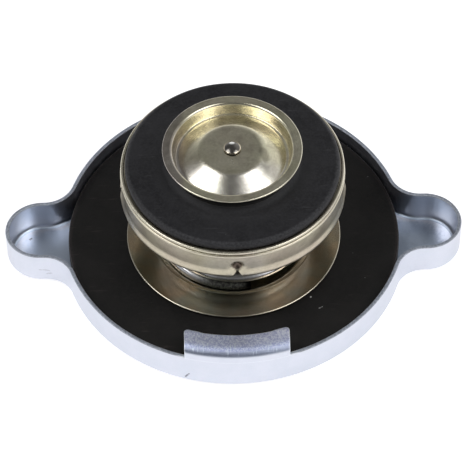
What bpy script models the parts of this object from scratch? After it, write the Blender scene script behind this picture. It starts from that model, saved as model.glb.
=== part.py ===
"""Radiator cap, lying upside down on its top face with its valve standing up.

Metres, +Z from the cap's top face towards the valve, origin at the centre of that face.
The ears point along X and the two cam tabs lie on the Y axis.
"""

import math

import bmesh
import bpy

MM = 0.001

# Clearances
SEAT = 0.3 * MM                  # between faces that rest on each other
RUN = 0.3 * MM                   # round a piece that passes through or lies inside another

# Shell, pressed from one sheet
SHEET = 0.8 * MM
SHELL_R = 35.5 * MM              # outside of the wall
WALL_H = 7.85 * MM               # top face to rim
EDGE_R = 1.25 * MM               # outside radius where top and wall meet
INSIDE_R = 0.7 * MM              # inside radius of the same bend
EAR_LENGTH = 11.8 * MM           # how far an ear stands out of the wall
EAR_R = 7.4 * MM                 # round end of an ear
EAR_FILLET_R = 6.2 * MM          # ear side to wall
RECESS_R = 7.6 * MM              # flat bottom of the dimple that takes the rivet head
RECESS_DEPTH = 1.2 * MM
RECESS_SLOPE = 1.6 * MM          # width of the dimple's sloped side

# Cam tabs, folded in over the rim
TAB_WIDTH = 21.1 * MM
TAB_RISE = 1.35 * MM             # top of a tab above the rim
TAB_REACH = 6.05 * MM            # wall's outside to the tab's inner edge
TAB_BEND_R = 1.3 * MM
TAB_CORNER_R = 1.1 * MM
TAB_NUB = 0.35 * MM              # inward step near each end of a tab
TAB_NUB_WIDTH = 3.6 * MM
TAB_NUB_RAMP = 0.9 * MM

# Centre rivet and its washer
RIVET_R = 3.0 * MM
RIVET_HEAD_R = 5.6 * MM
RIVET_HEAD_H = 0.85 * MM
RIVET_END_R = 4.4 * MM
RIVET_END_H = 1.2 * MM
RIVET_WASHER_R = 6.5 * MM
RIVET_WASHER_T = 0.6 * MM

# Diaphragm, upper gasket and its retainer
DIAPHRAGM_T = 0.3 * MM
DIAPHRAGM_MARGIN = 1.6 * MM      # gasket edge to diaphragm edge
CORRUGATION_R = 20.0 * MM
CORRUGATION_W = 9.0 * MM
CORRUGATION_DEPTH = 0.8 * MM
CORRUGATION_BEND_R = 9.0 * MM
GASKET_T = 1.85 * MM
GASKET_MARGIN = 0.7 * MM          # gasket edge to the shell's wall
GASKET_EDGE_R = 0.25 * MM
RETAINER_R = 22.2 * MM
RETAINER_T = 0.5 * MM
SPRING_SEAT_RISE = 0.2 * MM
SPRING_SEAT_MARGIN = 0.2 * MM    # spring to the step of its seat

# Valve guide
GUIDE_R = 11.5 * MM
GUIDE_T = 0.7 * MM
GUIDE_FLANGE_W = 1.7 * MM
GUIDE_H = 14.15 * MM
GUIDE_FLANGE_T = 0.5 * MM
GUIDE_BEND_R = 1.2 * MM

# Pressure spring
SPRING_WIRE = 2.3 * MM
SPRING_GUIDE_GAP = 1.85 * MM     # guide to the inside of the coil
SPRING_ACTIVE_TURNS = 1.75
SPRING_CLOSED_GAP = 0.3 * MM     # between the coils of a closed end
SPRING_GROUND = 0.6 * MM         # wire ground away under each closed end
SPRING_START = math.radians(-78.0)

# Pressure valve
PRESSURE_LIFT = 3.2 * MM
PRESSURE_SPARE = 1.0 * MM        # carrier to guide with the valve fully open
SEAL_R = 21.75 * MM
SEAL_T = 2.5 * MM
SEAL_EDGE_R = 0.8 * MM
SEAL_SHOULDER = 1.1 * MM         # how far the seal reaches out over the carrier's flange
SEAL_BORE_R = 9.6 * MM
SEAL_SEAT_R = 12.6 * MM          # raised ring that the vacuum plate closes on
SEAL_SEAT_H = 0.6 * MM
SEAL_SEAT_SLOPE = 0.6 * MM
CARRIER_T = 0.6 * MM
CARRIER_DISH = 1.0 * MM
CARRIER_LIP_H = 0.3 * MM
CARRIER_LIP_T = 0.6 * MM
CARRIER_EDGE_R = 0.3 * MM
CARRIER_GAP = 0.5 * MM           # dish to the inside of the cup
VENT_R = 1.6 * MM
VENT_CIRCLE_R = 7.0 * MM
VENTS = 4
CUP_T = 0.6 * MM
CUP_EDGE_R = 1.5 * MM
CUP_BEAD = 0.1 * MM              # how far the rolled top edge stands out
CUP_BEAD_H = 0.6 * MM
CRIMPS = 4
CRIMP_ANGLE = math.radians(-89.0)
CRIMP_WIDTH = 2.9 * MM
CRIMP_HEIGHT = 3.0 * MM
CRIMP_DEPTH = 1.0 * MM
CRIMP_RISE = 3.6 * MM            # crimp centre above the cup's bottom
SLOT_WIDTH = 1.5 * MM
SLOT_HEIGHT = 2.0 * MM

# Vacuum valve
VACUUM_LIFT = 2.4 * MM
PLATE_R = 14.1 * MM
PLATE_T = 0.5 * MM
PLATE_RIM_W = 2.1 * MM
PLATE_DEPTH = 2.65 * MM
PLATE_FLAT_R = 6.5 * MM          # top of the cone in the middle
PLATE_CONE_DROP = 0.3 * MM       # how far it lies below the rim
PLATE_FLOOR_W = 0.5 * MM
PLATE_WALL_LEAN = 0.7 * MM
PLATE_CONE_R = 3.0 * MM
PLATE_BEND_R = 0.4 * MM
STEM_R = 1.5 * MM
STEM_NECK_R = 1.0 * MM
STEM_SHOULDER_R = 2.2 * MM
STEM_SHOULDER_H = 1.0 * MM
STEM_HEAD_R = 1.75 * MM
STEM_HEAD_H = 0.6 * MM
VACUUM_WIRE = 0.6 * MM
VACUUM_SPRING_TURNS = 3.0
VACUUM_SPRING_SPARE = 2.4 * MM   # free height left when the valve is fully open
VACUUM_SPRING_GAP = 1.2 * MM     # stem to the inside of the coil
VACUUM_WASHER_R = 5.0 * MM
VACUUM_WASHER_T = 0.6 * MM

# Facets
LARGE_STEPS = 44
SMALL_STEPS = 24
WIRE_STEPS = 20                  # per turn of the pressure spring
FINE_WIRE_STEPS = 14             # per turn of the vacuum spring
FINE_RADIUS = 1.0 * MM           # fillets from this radius up get more facets

# Heights worked out from the stack
WALL_INNER_R = SHELL_R - SHEET
BOSS_TOP = RECESS_DEPTH + SHEET
DIAPHRAGM_Z = BOSS_TOP + SEAT
GASKET_Z = DIAPHRAGM_Z + DIAPHRAGM_T + SEAT
GASKET_R = WALL_INNER_R - GASKET_MARGIN
RETAINER_Z = GASKET_Z + GASKET_T + SEAT
SPRING_SEAT_Z = RETAINER_Z + SPRING_SEAT_RISE + RETAINER_T
GUIDE_Z = SPRING_SEAT_Z + SEAT
GUIDE_TOP = GUIDE_Z + GUIDE_H
RIVET_WASHER_Z = GUIDE_Z + GUIDE_T + SEAT
RIVET_END_Z = RIVET_WASHER_Z + RIVET_WASHER_T + SEAT
RIVET_HOLE_R = RIVET_R + RUN
CUP_FLOOR_TOP = GUIDE_TOP - GUIDE_FLANGE_T - SEAT
CUP_Z = CUP_FLOOR_TOP - CUP_T
SPRING_Z = SPRING_SEAT_Z + SEAT
SPRING_R = GUIDE_R + SPRING_GUIDE_GAP + SPRING_WIRE / 2
CARRIER_Z = GUIDE_TOP + PRESSURE_LIFT + PRESSURE_SPARE + SEAT
CUP_H = CARRIER_Z + CARRIER_DISH - SEAT - CUP_Z
DISH_R = SEAL_R - SEAL_SHOULDER + RUN
CUP_R = DISH_R + CARRIER_T + CARRIER_GAP + CUP_T
SEAL_Z = CARRIER_Z + CARRIER_T + SEAT
PLATE_Z = SEAL_Z + SEAL_T + SEAL_SEAT_H + SEAT + PLATE_DEPTH
CONE_Z = PLATE_Z - PLATE_CONE_DROP
VACUUM_SPRING_TOP = CARRIER_Z - SEAT
VACUUM_SPRING_SOLID = (VACUUM_SPRING_TURNS + 2) * VACUUM_WIRE + 2 * SPRING_CLOSED_GAP
VACUUM_SPRING_L = VACUUM_SPRING_SOLID + VACUUM_LIFT + VACUUM_SPRING_SPARE
VACUUM_SPRING_Z = VACUUM_SPRING_TOP - VACUUM_SPRING_L
VACUUM_WASHER_Z = VACUUM_SPRING_Z - SEAT - VACUUM_WASHER_T
VACUUM_SPRING_R = STEM_R + VACUUM_SPRING_GAP + VACUUM_WIRE / 2


def clear_scene():
    for item in list(bpy.data.objects):
        bpy.data.objects.remove(item, do_unlink=True)


def material(name, colour, roughness, metallic):
    made = bpy.data.materials.new(name)
    made.use_nodes = True
    shader = made.node_tree.nodes["Principled BSDF"]
    shader.inputs["Base Color"].default_value = (*colour, 1.0)
    shader.inputs["Roughness"].default_value = roughness
    shader.inputs["Metallic"].default_value = metallic
    return made


def frame(name):
    """An empty on the cap's axis that one moving group hangs from."""
    empty = bpy.data.objects.new(name, None)
    bpy.context.scene.collection.objects.link(empty)
    return empty


def place(name, data, finish, parent, height=0.0):
    """Put a mesh or curve in the scene, with its origin on the cap's axis at its seat."""
    item = bpy.data.objects.new(name, data)
    bpy.context.scene.collection.objects.link(item)
    item.location.z = height
    item.parent = parent
    data.materials.append(finish)
    return item


def mesh_from(bm, name, sharp_deg=35.0):
    bmesh.ops.recalc_face_normals(bm, faces=bm.faces)
    mesh = bpy.data.meshes.new(name)
    bm.to_mesh(mesh)
    bm.free()
    mesh.shade_smooth()
    mesh.set_sharp_from_angle(angle=math.radians(sharp_deg))
    return mesh


def arc(centre, radius, start, end, steps):
    """Points on an arc in the plane, both ends included, angles in degrees."""
    points = []
    for i in range(steps + 1):
        angle = math.radians(start + (end - start) * i / steps)
        points.append((centre[0] + radius * math.cos(angle), centre[1] + radius * math.sin(angle)))
    return points


def rounded(corners):
    """A path through corners (r, z, fillet radius), each inner corner rounded by its radius."""
    path = []
    for i, (x, z, radius) in enumerate(corners):
        steps = 3 if radius >= FINE_RADIUS else 1
        if radius == 0 or i == 0 or i == len(corners) - 1:
            path.append((x, z))
            continue
        before, after = corners[i - 1], corners[i + 1]
        ax, az = before[0] - x, before[1] - z
        bx, bz = after[0] - x, after[1] - z
        la, lb = math.hypot(ax, az), math.hypot(bx, bz)
        ax, az, bx, bz = ax / la, az / la, bx / lb, bz / lb
        half = math.acos(max(-1.0, min(1.0, ax * bx + az * bz))) / 2
        reach = min(radius / math.tan(half), 0.49 * la, 0.49 * lb)
        radius = reach * math.tan(half)
        mx, mz = ax + bx, az + bz
        ml = math.hypot(mx, mz)
        cx, cz = x + mx / ml * radius / math.sin(half), z + mz / ml * radius / math.sin(half)
        start = math.atan2(z + az * reach - cz, x + ax * reach - cx)
        turn = math.atan2(z + bz * reach - cz, x + bx * reach - cx) - start
        turn = (turn + math.pi) % (2 * math.pi) - math.pi
        for k in range(steps + 1):
            angle = start + turn * k / steps
            path.append((cx + radius * math.cos(angle), cz + radius * math.sin(angle)))
    return path


def sheet(path, thickness):
    """Closed outline of a sheet whose lower face follows path from the axis outwards.

    The upper face lies the thickness to the left of the path.
    """
    upper = []
    for i, (x, z) in enumerate(path):
        normals = []
        if i > 0:
            normals.append((path[i - 1], (x, z)))
        if i < len(path) - 1:
            normals.append(((x, z), path[i + 1]))
        nx = nz = 0.0
        for (x0, z0), (x1, z1) in normals:
            length = math.hypot(x1 - x0, z1 - z0)
            nx -= (z1 - z0) / length
            nz += (x1 - x0) / length
        square = nx * nx + nz * nz
        scale = thickness * len(normals) / square
        upper.append((x + nx * scale, z + nz * scale))
    return path + upper[::-1]


def turned(outline, steps, name):
    """Spin an outline of (r, z) points round Z, closed unless it starts and ends on the axis."""
    bm = bmesh.new()
    verts = [bm.verts.new((x, 0.0, z)) for x, z in outline]
    edges = [bm.edges.new(pair) for pair in zip(verts, verts[1:])]
    if outline[0][0] > 0.0:
        edges.append(bm.edges.new((verts[-1], verts[0])))
    bmesh.ops.spin(bm, geom=verts + edges, cent=(0, 0, 0), axis=(0, 0, 1),
                   angle=2 * math.pi, steps=steps, use_merge=True)
    bmesh.ops.remove_doubles(bm, verts=bm.verts, dist=0.001 * MM)
    return mesh_from(bm, name)


def ring(inner_r, outer_r, thickness, steps, name):
    """A flat washer standing on z = 0."""
    outline = [(inner_r, 0.0), (outer_r, 0.0), (outer_r, thickness), (inner_r, thickness)]
    return turned(outline, steps, name)


def coil(radius, wire, height, closed_rise, active_turns, start, name, steps, sides, ground=0.0):
    """A left-hand compression spring from z = 0 to height, with one closed turn at each end.

    Both ends are ground flat, which takes the given depth off the wire at its tips.
    """
    turns = active_turns + 2.0
    active_rise = height - wire + 2 * ground - 2 * closed_rise
    points = []
    count = round(turns * steps)
    for i in range(count + 1):
        turn = turns * i / count
        if turn < 1.0:
            rise = closed_rise * turn
        elif turn < 1.0 + active_turns:
            rise = closed_rise + active_rise * (turn - 1.0) / active_turns
        else:
            rise = closed_rise + active_rise + closed_rise * (turn - 1.0 - active_turns)
        angle = start - 2 * math.pi * turn
        points.append((radius * math.cos(angle), radius * math.sin(angle), wire / 2 - ground + rise))
    bm = bmesh.new()
    rings = []
    for i, (x, y, z) in enumerate(points):
        x0, y0, z0 = points[max(i - 1, 0)]
        x1, y1, z1 = points[min(i + 1, count)]
        run = math.hypot(x1 - x0, y1 - y0)
        slope = math.atan2(z1 - z0, run)
        out = (x / radius, y / radius)
        along = ((x1 - x0) / run, (y1 - y0) / run)
        section = []
        for k in range(sides):
            angle = 2 * math.pi * (k + 0.5) / sides
            sideways = wire / 2 * math.cos(angle)
            up = wire / 2 * math.sin(angle)
            section.append(bm.verts.new((
                x + out[0] * sideways - along[0] * up * math.sin(slope),
                y + out[1] * sideways - along[1] * up * math.sin(slope),
                min(max(z + up * math.cos(slope), 0.0), height))))
        rings.append(section)
    for a, b in zip(rings, rings[1:]):
        for k in range(sides):
            bm.faces.new((a[k], a[(k + 1) % sides], b[(k + 1) % sides], b[k]))
    bm.faces.new(rings[0])
    bm.faces.new(rings[-1])
    return mesh_from(bm, name, 70.0)


# Shell
def tab_columns():
    """Places across half a tab, from its middle to its side, as distances from the Y axis."""
    half = TAB_WIDTH / 2
    nub = half - TAB_NUB_WIDTH
    columns = [0.0, nub / 3, nub * 2 / 3, nub, nub + TAB_NUB_RAMP, half - TAB_CORNER_R]
    columns += [half - TAB_CORNER_R * (1 - math.sin(math.radians(a))) for a in (35, 65, 90)]
    return columns


def quarter_outline(inset):
    """Plan outline of a quarter of the shell, ear tip to tab middle, moved in by inset.

    Every stretch is an arc or a straight line, so moving it in changes only its radius.
    """
    ear_x = SHELL_R + EAR_LENGTH - EAR_R
    points = arc((ear_x, 0.0), EAR_R - inset, 0, 90, 6)
    fillet_y = EAR_R + EAR_FILLET_R
    fillet_x = math.sqrt((SHELL_R + EAR_FILLET_R) ** 2 - fillet_y ** 2)
    meet = math.degrees(math.atan2(fillet_y, fillet_x))
    points += arc((fillet_x, fillet_y), EAR_FILLET_R + inset, 270, 180 + meet, 4)
    radius = SHELL_R - inset
    side = math.degrees(math.acos(TAB_WIDTH / 2 / radius))
    points += arc((0.0, 0.0), radius, meet, side, 10)[1:-1]
    points += [(x, math.sqrt(radius ** 2 - x ** 2)) for x in reversed(tab_columns())]
    return points


def full_outline(inset):
    """The quarter mirrored into all four, anticlockwise from the +X ear's tip."""
    quarter = quarter_outline(inset)
    half = quarter + [(-x, y) for x, y in reversed(quarter[:-1])]
    return half + [(x, -y) for x, y in reversed(half[1:-1])]


def tab_inner_edge(x):
    """How far from the cap's axis a tab's inner edge lies, at x across the tab."""
    half = TAB_WIDTH / 2
    edge = math.sqrt((SHELL_R - TAB_REACH) ** 2 - x ** 2)
    ramp = (abs(x) - (half - TAB_NUB_WIDTH)) / TAB_NUB_RAMP
    edge -= TAB_NUB * min(1.0, max(0.0, ramp))
    past = max(0.0, abs(x) - (half - TAB_CORNER_R))
    return edge + TAB_CORNER_R - math.sqrt(max(0.0, TAB_CORNER_R ** 2 - past ** 2))


def tab_section(x, side):
    """Points of the tab's section at x, from the outer rim over the bend to the inner rim."""
    top = WALL_H + TAB_RISE
    inner_bend = TAB_BEND_R - SHEET
    outer, inner = [], []
    for point in arc((TAB_BEND_R, top - TAB_BEND_R), TAB_BEND_R, 180, 90, 3):
        outer.append(point)
    for point in arc((TAB_BEND_R, top - TAB_BEND_R), inner_bend, 90, 180, 2):
        inner.append(point)
    edge = tab_inner_edge(x)
    rows = [(math.sqrt((SHELL_R - inset) ** 2 - x ** 2), z) for inset, z in outer]
    rows += [(edge, top), (edge, top - SHEET)]
    rows += [(math.sqrt((SHELL_R - inset) ** 2 - x ** 2), z) for inset, z in inner]
    return [(x, side * y, z) for y, z in rows]


def shell_mesh():
    bm = bmesh.new()

    def loop(points, z):
        return [bm.verts.new((x, y, z)) for x, y in points]

    def skin(lower, upper):
        for i in range(len(lower)):
            j = (i + 1) % len(lower)
            bm.faces.new((lower[i], lower[j], upper[j], upper[i]))

    def floor_between(outer, inner):
        edges = []
        for verts in (outer, inner):
            for a, b in zip(verts, verts[1:] + verts[:1]):
                edges.append(bm.edges.get((a, b)) or bm.edges.new((a, b)))
        bmesh.ops.triangle_fill(bm, use_beauty=True, edges=edges)

    def circle(radius, z):
        return loop(arc((0.0, 0.0), radius, 0, 360, LARGE_STEPS * 2 // 3)[:-1], z)

    # Outside: edge radius, then up to the rim
    outside = []
    for inset, z in arc((EDGE_R, EDGE_R), EDGE_R, 270, 180, 2):
        outside.append(loop(full_outline(inset), z))
    outside.append(loop(full_outline(0.0), WALL_H))
    # Inside: down the wall, round the inner radius to the floor
    inside = [loop(full_outline(SHEET), WALL_H)]
    centre = (SHEET + INSIDE_R, SHEET + INSIDE_R)
    for inset, z in arc(centre, INSIDE_R, 180, 270, 2):
        inside.append(loop(full_outline(inset), z))
    for lower, upper in zip(outside, outside[1:]):
        skin(lower, upper)
    for upper, lower in zip(inside, inside[1:]):
        skin(upper, lower)

    # Rim, left open where a tab grows out of it
    outer_rim, inner_rim = outside[-1], inside[0]
    count = len(outer_rim)
    half = TAB_WIDTH / 2 + 0.01 * MM
    in_tab = [abs(v.co.x) < half for v in outer_rim]
    for i in range(count):
        j = (i + 1) % count
        if not (in_tab[i] and in_tab[j]):
            bm.faces.new((outer_rim[i], outer_rim[j], inner_rim[j], inner_rim[i]))
    for side in (1, -1):
        columns = []
        for i in range(count):
            if in_tab[i] and outer_rim[i].co.y * side > 0:
                section = tab_section(outer_rim[i].co.x, side)
                chain = [outer_rim[i]] + [bm.verts.new(p) for p in section] + [inner_rim[i]]
                columns.append(chain)
        for a, b in zip(columns, columns[1:]):
            for k in range(len(a) - 1):
                bm.faces.new((a[k], b[k], b[k + 1], a[k + 1]))
        bm.faces.new(columns[0])
        bm.faces.new(columns[-1])

    # Dimple for the rivet head, with the rivet's hole
    lip = RECESS_R + RECESS_SLOPE
    below = [circle(lip, 0.0), circle(RECESS_R, RECESS_DEPTH), circle(RIVET_HOLE_R, RECESS_DEPTH)]
    above = [circle(lip + SHEET / 2, SHEET), circle(RECESS_R + SHEET / 2, BOSS_TOP),
             circle(RIVET_HOLE_R, BOSS_TOP)]
    floor_between(outside[0], below[0])
    floor_between(inside[-1], above[0])
    for loops in (below, above):
        for a, b in zip(loops, loops[1:]):
            skin(a, b)
    skin(below[-1], above[-1])
    return mesh_from(bm, "shell")


def rivet_mesh():
    """Rivet from its outer head up through the stack to its closed end."""
    head_top = RECESS_DEPTH - SEAT
    head = arc((0.0, head_top), 1.0, 270, 360, 3)
    outline = [(x * RIVET_HEAD_R, head_top + (z - head_top) * RIVET_HEAD_H) for x, z in head]
    outline += [(RIVET_R, head_top), (RIVET_R, RIVET_END_Z)]
    end = arc((0.0, 0.0), 1.0, 0, 90, 3)
    outline += [(x * RIVET_END_R, RIVET_END_Z + z * RIVET_END_H) for x, z in end]
    outline[0] = (0.0, outline[0][1])
    outline[-1] = (0.0, outline[-1][1])
    return turned(outline, SMALL_STEPS, "centre_rivet")


def diaphragm_mesh():
    near, far = CORRUGATION_R - CORRUGATION_W / 2, CORRUGATION_R + CORRUGATION_W / 2
    path = rounded([
        (RIVET_HOLE_R, 0.0, 0),
        (near, 0.0, 0),
        (CORRUGATION_R, -CORRUGATION_DEPTH, CORRUGATION_BEND_R),
        (far, 0.0, 0),
        (GASKET_R - DIAPHRAGM_MARGIN, 0.0, 0)])
    return turned(sheet(path, DIAPHRAGM_T), LARGE_STEPS * 2 // 3, "diaphragm_spring")


def gasket_mesh():
    outline = [(RIVET_HOLE_R, 0.0), (GASKET_R, 0.0)]
    outline += arc((GASKET_R - GASKET_EDGE_R, GASKET_T - GASKET_EDGE_R), GASKET_EDGE_R, 0, 90, 1)
    outline += [(RIVET_HOLE_R, GASKET_T)]
    return turned(outline, LARGE_STEPS + 16, "upper_gasket")


def retainer_mesh():
    step_r = SPRING_R + SPRING_WIRE / 2 + SPRING_SEAT_MARGIN
    path = [
        (RIVET_HOLE_R, SPRING_SEAT_RISE),
        (step_r, SPRING_SEAT_RISE),
        (step_r + RETAINER_T, 0.0),
        (RETAINER_R, 0.0)]
    return turned(sheet(path, RETAINER_T), LARGE_STEPS, "gasket_retainer")


def guide_mesh():
    """Drawn bell: floor on the retainer, tube, and the flange that holds the valve back."""
    bend = GUIDE_BEND_R
    tube = GUIDE_R
    outline = [(RIVET_HOLE_R, 0.0)]
    outline += arc((tube - bend, bend), bend, 270, 360, 2)
    outline += [(tube, GUIDE_H - GUIDE_FLANGE_T), (tube + GUIDE_FLANGE_W, GUIDE_H - GUIDE_FLANGE_T)]
    outline += [(tube + GUIDE_FLANGE_W, GUIDE_H)]
    outline += arc((tube, GUIDE_H - GUIDE_T), GUIDE_T, 90, 180, 2)
    outline += arc((tube - bend, bend), bend - GUIDE_T, 360, 270, 1)
    outline += [(RIVET_HOLE_R, GUIDE_T)]
    return turned(outline, LARGE_STEPS * 3 // 4, "valve_guide")


# Pressure valve
def crimp_shift(angle, z):
    """How far the cup's wall is pressed in at this place, over all the crimps."""
    shift = 0.0
    for k in range(CRIMPS):
        centre = CRIMP_ANGLE + 2 * math.pi * k / CRIMPS
        across = math.remainder(angle - centre, 2 * math.pi) * CUP_R / (CRIMP_WIDTH / 2)
        along = (z - CRIMP_RISE) / (CRIMP_HEIGHT / 2)
        distance = math.hypot(across, along)
        if distance < 1.0:
            shift += CRIMP_DEPTH * 0.5 * (1 + math.cos(math.pi * distance))
    return shift


def cup_angles():
    """Even steps round the cup, with closer ones across each crimp."""
    near = [CRIMP_WIDTH / CUP_R * f for f in (-0.5, -0.25, 0.0, 0.25, 0.5)]
    angles = []
    gap = 2 * math.pi / CRIMPS
    plain = LARGE_STEPS // CRIMPS - 3
    for k in range(CRIMPS):
        centre = CRIMP_ANGLE + gap * k
        angles += [centre + step for step in near]
        start, end = centre + near[-1], centre + gap + near[0]
        angles += [start + (end - start) * (i + 1) / (plain + 1) for i in range(plain)]
    return angles


def cup_mesh():
    """Cup with its bottom edge turned in under the guide's flange and its top edge rolled."""
    hole = GUIDE_R + RUN
    inside = CUP_R - CUP_T
    low, high = CRIMP_RISE - CRIMP_HEIGHT / 2, CRIMP_RISE + CRIMP_HEIGHT / 2
    bead = CUP_H - CUP_BEAD_H
    outline = [(hole, 0.0)]
    outline += arc((CUP_R - CUP_EDGE_R, CUP_EDGE_R), CUP_EDGE_R, 270, 360, 3)
    outline += [(CUP_R, z) for z in (low, CRIMP_RISE, high)]
    outline += [(CUP_R, bead), (CUP_R + CUP_BEAD, bead + CUP_BEAD), (CUP_R + CUP_BEAD, CUP_H - CUP_BEAD),
                (CUP_R, CUP_H), (inside, CUP_H)]
    outline += [(inside, z) for z in (high, CRIMP_RISE, low)]
    outline += arc((CUP_R - CUP_EDGE_R, CUP_EDGE_R), CUP_EDGE_R - CUP_T, 360, 270, 1)
    outline += [(hole, CUP_T)]
    bm = bmesh.new()
    rings = []
    for angle in cup_angles():
        across, along = math.cos(angle), math.sin(angle)
        ring_verts = []
        for r, z in outline:
            if r > inside - RUN:
                r -= crimp_shift(angle, z)
            ring_verts.append(bm.verts.new((r * across, r * along, z)))
        rings.append(ring_verts)
    size = len(outline)
    for a, b in zip(rings, rings[1:] + rings[:1]):
        for k in range(size):
            bm.faces.new((a[k], b[k], b[(k + 1) % size], a[(k + 1) % size]))
    return mesh_from(bm, "retaining_cup")


def prism(bm, points, direction, near, far):
    """A straight bar of the given section (across, z), between two distances along direction."""
    cos_a, sin_a = math.cos(direction), math.sin(direction)
    ends = []
    for r in (near, far):
        ends.append([bm.verts.new((r * cos_a - s * sin_a, r * sin_a + s * cos_a, z)) for s, z in points])
    bm.faces.new(ends[0])
    bm.faces.new(ends[1])
    for i in range(len(points)):
        j = (i + 1) % len(points)
        bm.faces.new((ends[0][i], ends[0][j], ends[1][j], ends[1][i]))


def slot_cutter():
    """V-shaped slots that let the cup's bottom edge turn in under each crimp."""
    bm = bmesh.new()
    below = -CUP_T
    for k in range(CRIMPS):
        half = SLOT_WIDTH / 2
        points = [(-half, below), (half, below), (half * 0.25, SLOT_HEIGHT), (-half * 0.25, SLOT_HEIGHT)]
        direction = CRIMP_ANGLE + 2 * math.pi * k / CRIMPS
        prism(bm, points, direction, CUP_R - CUP_EDGE_R - CUP_T, CUP_R + CUP_T)
    return mesh_from(bm, "crimp_slots")


def vent_cutter():
    """Vents round the carrier's hub, through which air reaches the vacuum valve."""
    bm = bmesh.new()
    for k in range(VENTS):
        angle = 2 * math.pi * (k + 0.5) / VENTS
        centre = (VENT_CIRCLE_R * math.cos(angle), VENT_CIRCLE_R * math.sin(angle))
        rims = []
        for z in (-CARRIER_T, 2 * CARRIER_T):
            rims.append([bm.verts.new((x, y, z)) for x, y in arc(centre, VENT_R, 0, 360, 10)[:-1]])
        bm.faces.new(rims[0])
        bm.faces.new(rims[1])
        for i in range(len(rims[0])):
            j = (i + 1) % len(rims[0])
            bm.faces.new((rims[0][i], rims[0][j], rims[1][j], rims[1][i]))
    return mesh_from(bm, "carrier_vents")


def cut(target, mesh, finish, parent, height):
    """Cut a solid away with an exact Boolean, keeping the cutter as a wire guide."""
    cutter = place(mesh.name + "_cutter", mesh, finish, parent, height)
    cutter.hide_render = True
    cutter.display_type = "WIRE"
    boolean = target.modifiers.new("cut", "BOOLEAN")
    boolean.operation = "DIFFERENCE"
    boolean.solver = "EXACT"
    boolean.object = cutter


def carrier_mesh():
    """Shallow dish for the seal, with a flange over the cup's edge and a rolled lip."""
    lip_r = SEAL_R + RUN + CARRIER_LIP_T
    flange = CARRIER_DISH + CARRIER_T
    lip_top = flange + CARRIER_LIP_H
    wall_r = DISH_R + CARRIER_T
    outline = rounded([
        (STEM_R + RUN, 0.0, 0),
        (wall_r, 0.0, CARRIER_EDGE_R),
        (wall_r, CARRIER_DISH, 0),
        (lip_r, CARRIER_DISH, CARRIER_EDGE_R),
        (lip_r, lip_top - CARRIER_LIP_T / 2, 0)])
    outline += arc((lip_r - CARRIER_LIP_T / 2, lip_top - CARRIER_LIP_T / 2), CARRIER_LIP_T / 2, 0, 180, 4)[1:]
    outline += [(lip_r - CARRIER_LIP_T, flange), (DISH_R, flange), (DISH_R, CARRIER_T)]
    outline += [(STEM_R + RUN, CARRIER_T)]
    return turned(outline, LARGE_STEPS, "seal_carrier")


def seal_mesh():
    """Stepped rubber ring: foot in the carrier's dish, shoulder over its flange, raised seat."""
    seat_top = SEAL_T + SEAL_SEAT_H
    outline = [(SEAL_BORE_R, 0.0), (SEAL_R - SEAL_SHOULDER, 0.0), (SEAL_R - SEAL_SHOULDER, CARRIER_DISH)]
    outline += [(SEAL_R, CARRIER_DISH)]
    outline += arc((SEAL_R - SEAL_EDGE_R, SEAL_T - SEAL_EDGE_R), SEAL_EDGE_R, 0, 90, 3)
    outline += [(SEAL_SEAT_R + SEAL_SEAT_SLOPE, SEAL_T), (SEAL_SEAT_R, seat_top), (SEAL_BORE_R, seat_top)]
    return turned(outline, LARGE_STEPS, "pressure_seal")


# Vacuum valve
def plate_mesh():
    """Dished plate: flat rim, groove, and a blunt cone that rises almost to the rim's height."""
    rim = PLATE_R - PLATE_RIM_W
    foot = rim - PLATE_WALL_LEAN
    path = rounded([
        (STEM_NECK_R + RUN, -PLATE_CONE_DROP, 0),
        (PLATE_FLAT_R, -PLATE_CONE_DROP, PLATE_CONE_R),
        (foot - PLATE_FLOOR_W, -PLATE_DEPTH, PLATE_BEND_R),
        (foot, -PLATE_DEPTH, PLATE_BEND_R),
        (rim, 0.0, PLATE_BEND_R),
        (PLATE_R, 0.0, 0)])
    return turned(sheet(path, PLATE_T), LARGE_STEPS * 3 // 4, "vacuum_plate")


def stem_mesh():
    """Stem with its foot below the washer, a shoulder under the plate and a riveted head."""
    foot = VACUUM_WASHER_Z - SEAT
    under = CONE_Z - SEAT
    over = CONE_Z + PLATE_T + SEAT
    outline = [(0.0, foot - STEM_HEAD_H)]
    outline += [(x * STEM_HEAD_R, foot + z * STEM_HEAD_H) for x, z in arc((0, 0), 1.0, 270, 360, 2)][1:]
    outline += [(STEM_NECK_R, foot), (STEM_NECK_R, VACUUM_SPRING_Z - SEAT), (STEM_R, VACUUM_SPRING_Z)]
    outline += [(STEM_R, under - STEM_SHOULDER_H), (STEM_SHOULDER_R, under - STEM_SHOULDER_H)]
    outline += [(STEM_SHOULDER_R, under), (STEM_NECK_R, under), (STEM_NECK_R, over)]
    outline += [(x * STEM_HEAD_R, over + z * STEM_HEAD_H) for x, z in arc((0, 0), 1.0, 0, 90, 3)][:-1]
    outline += [(0.0, over + STEM_HEAD_H)]
    return turned([(r, z - PLATE_Z) for r, z in outline], SMALL_STEPS * 2 // 3, "vacuum_stem")


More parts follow.
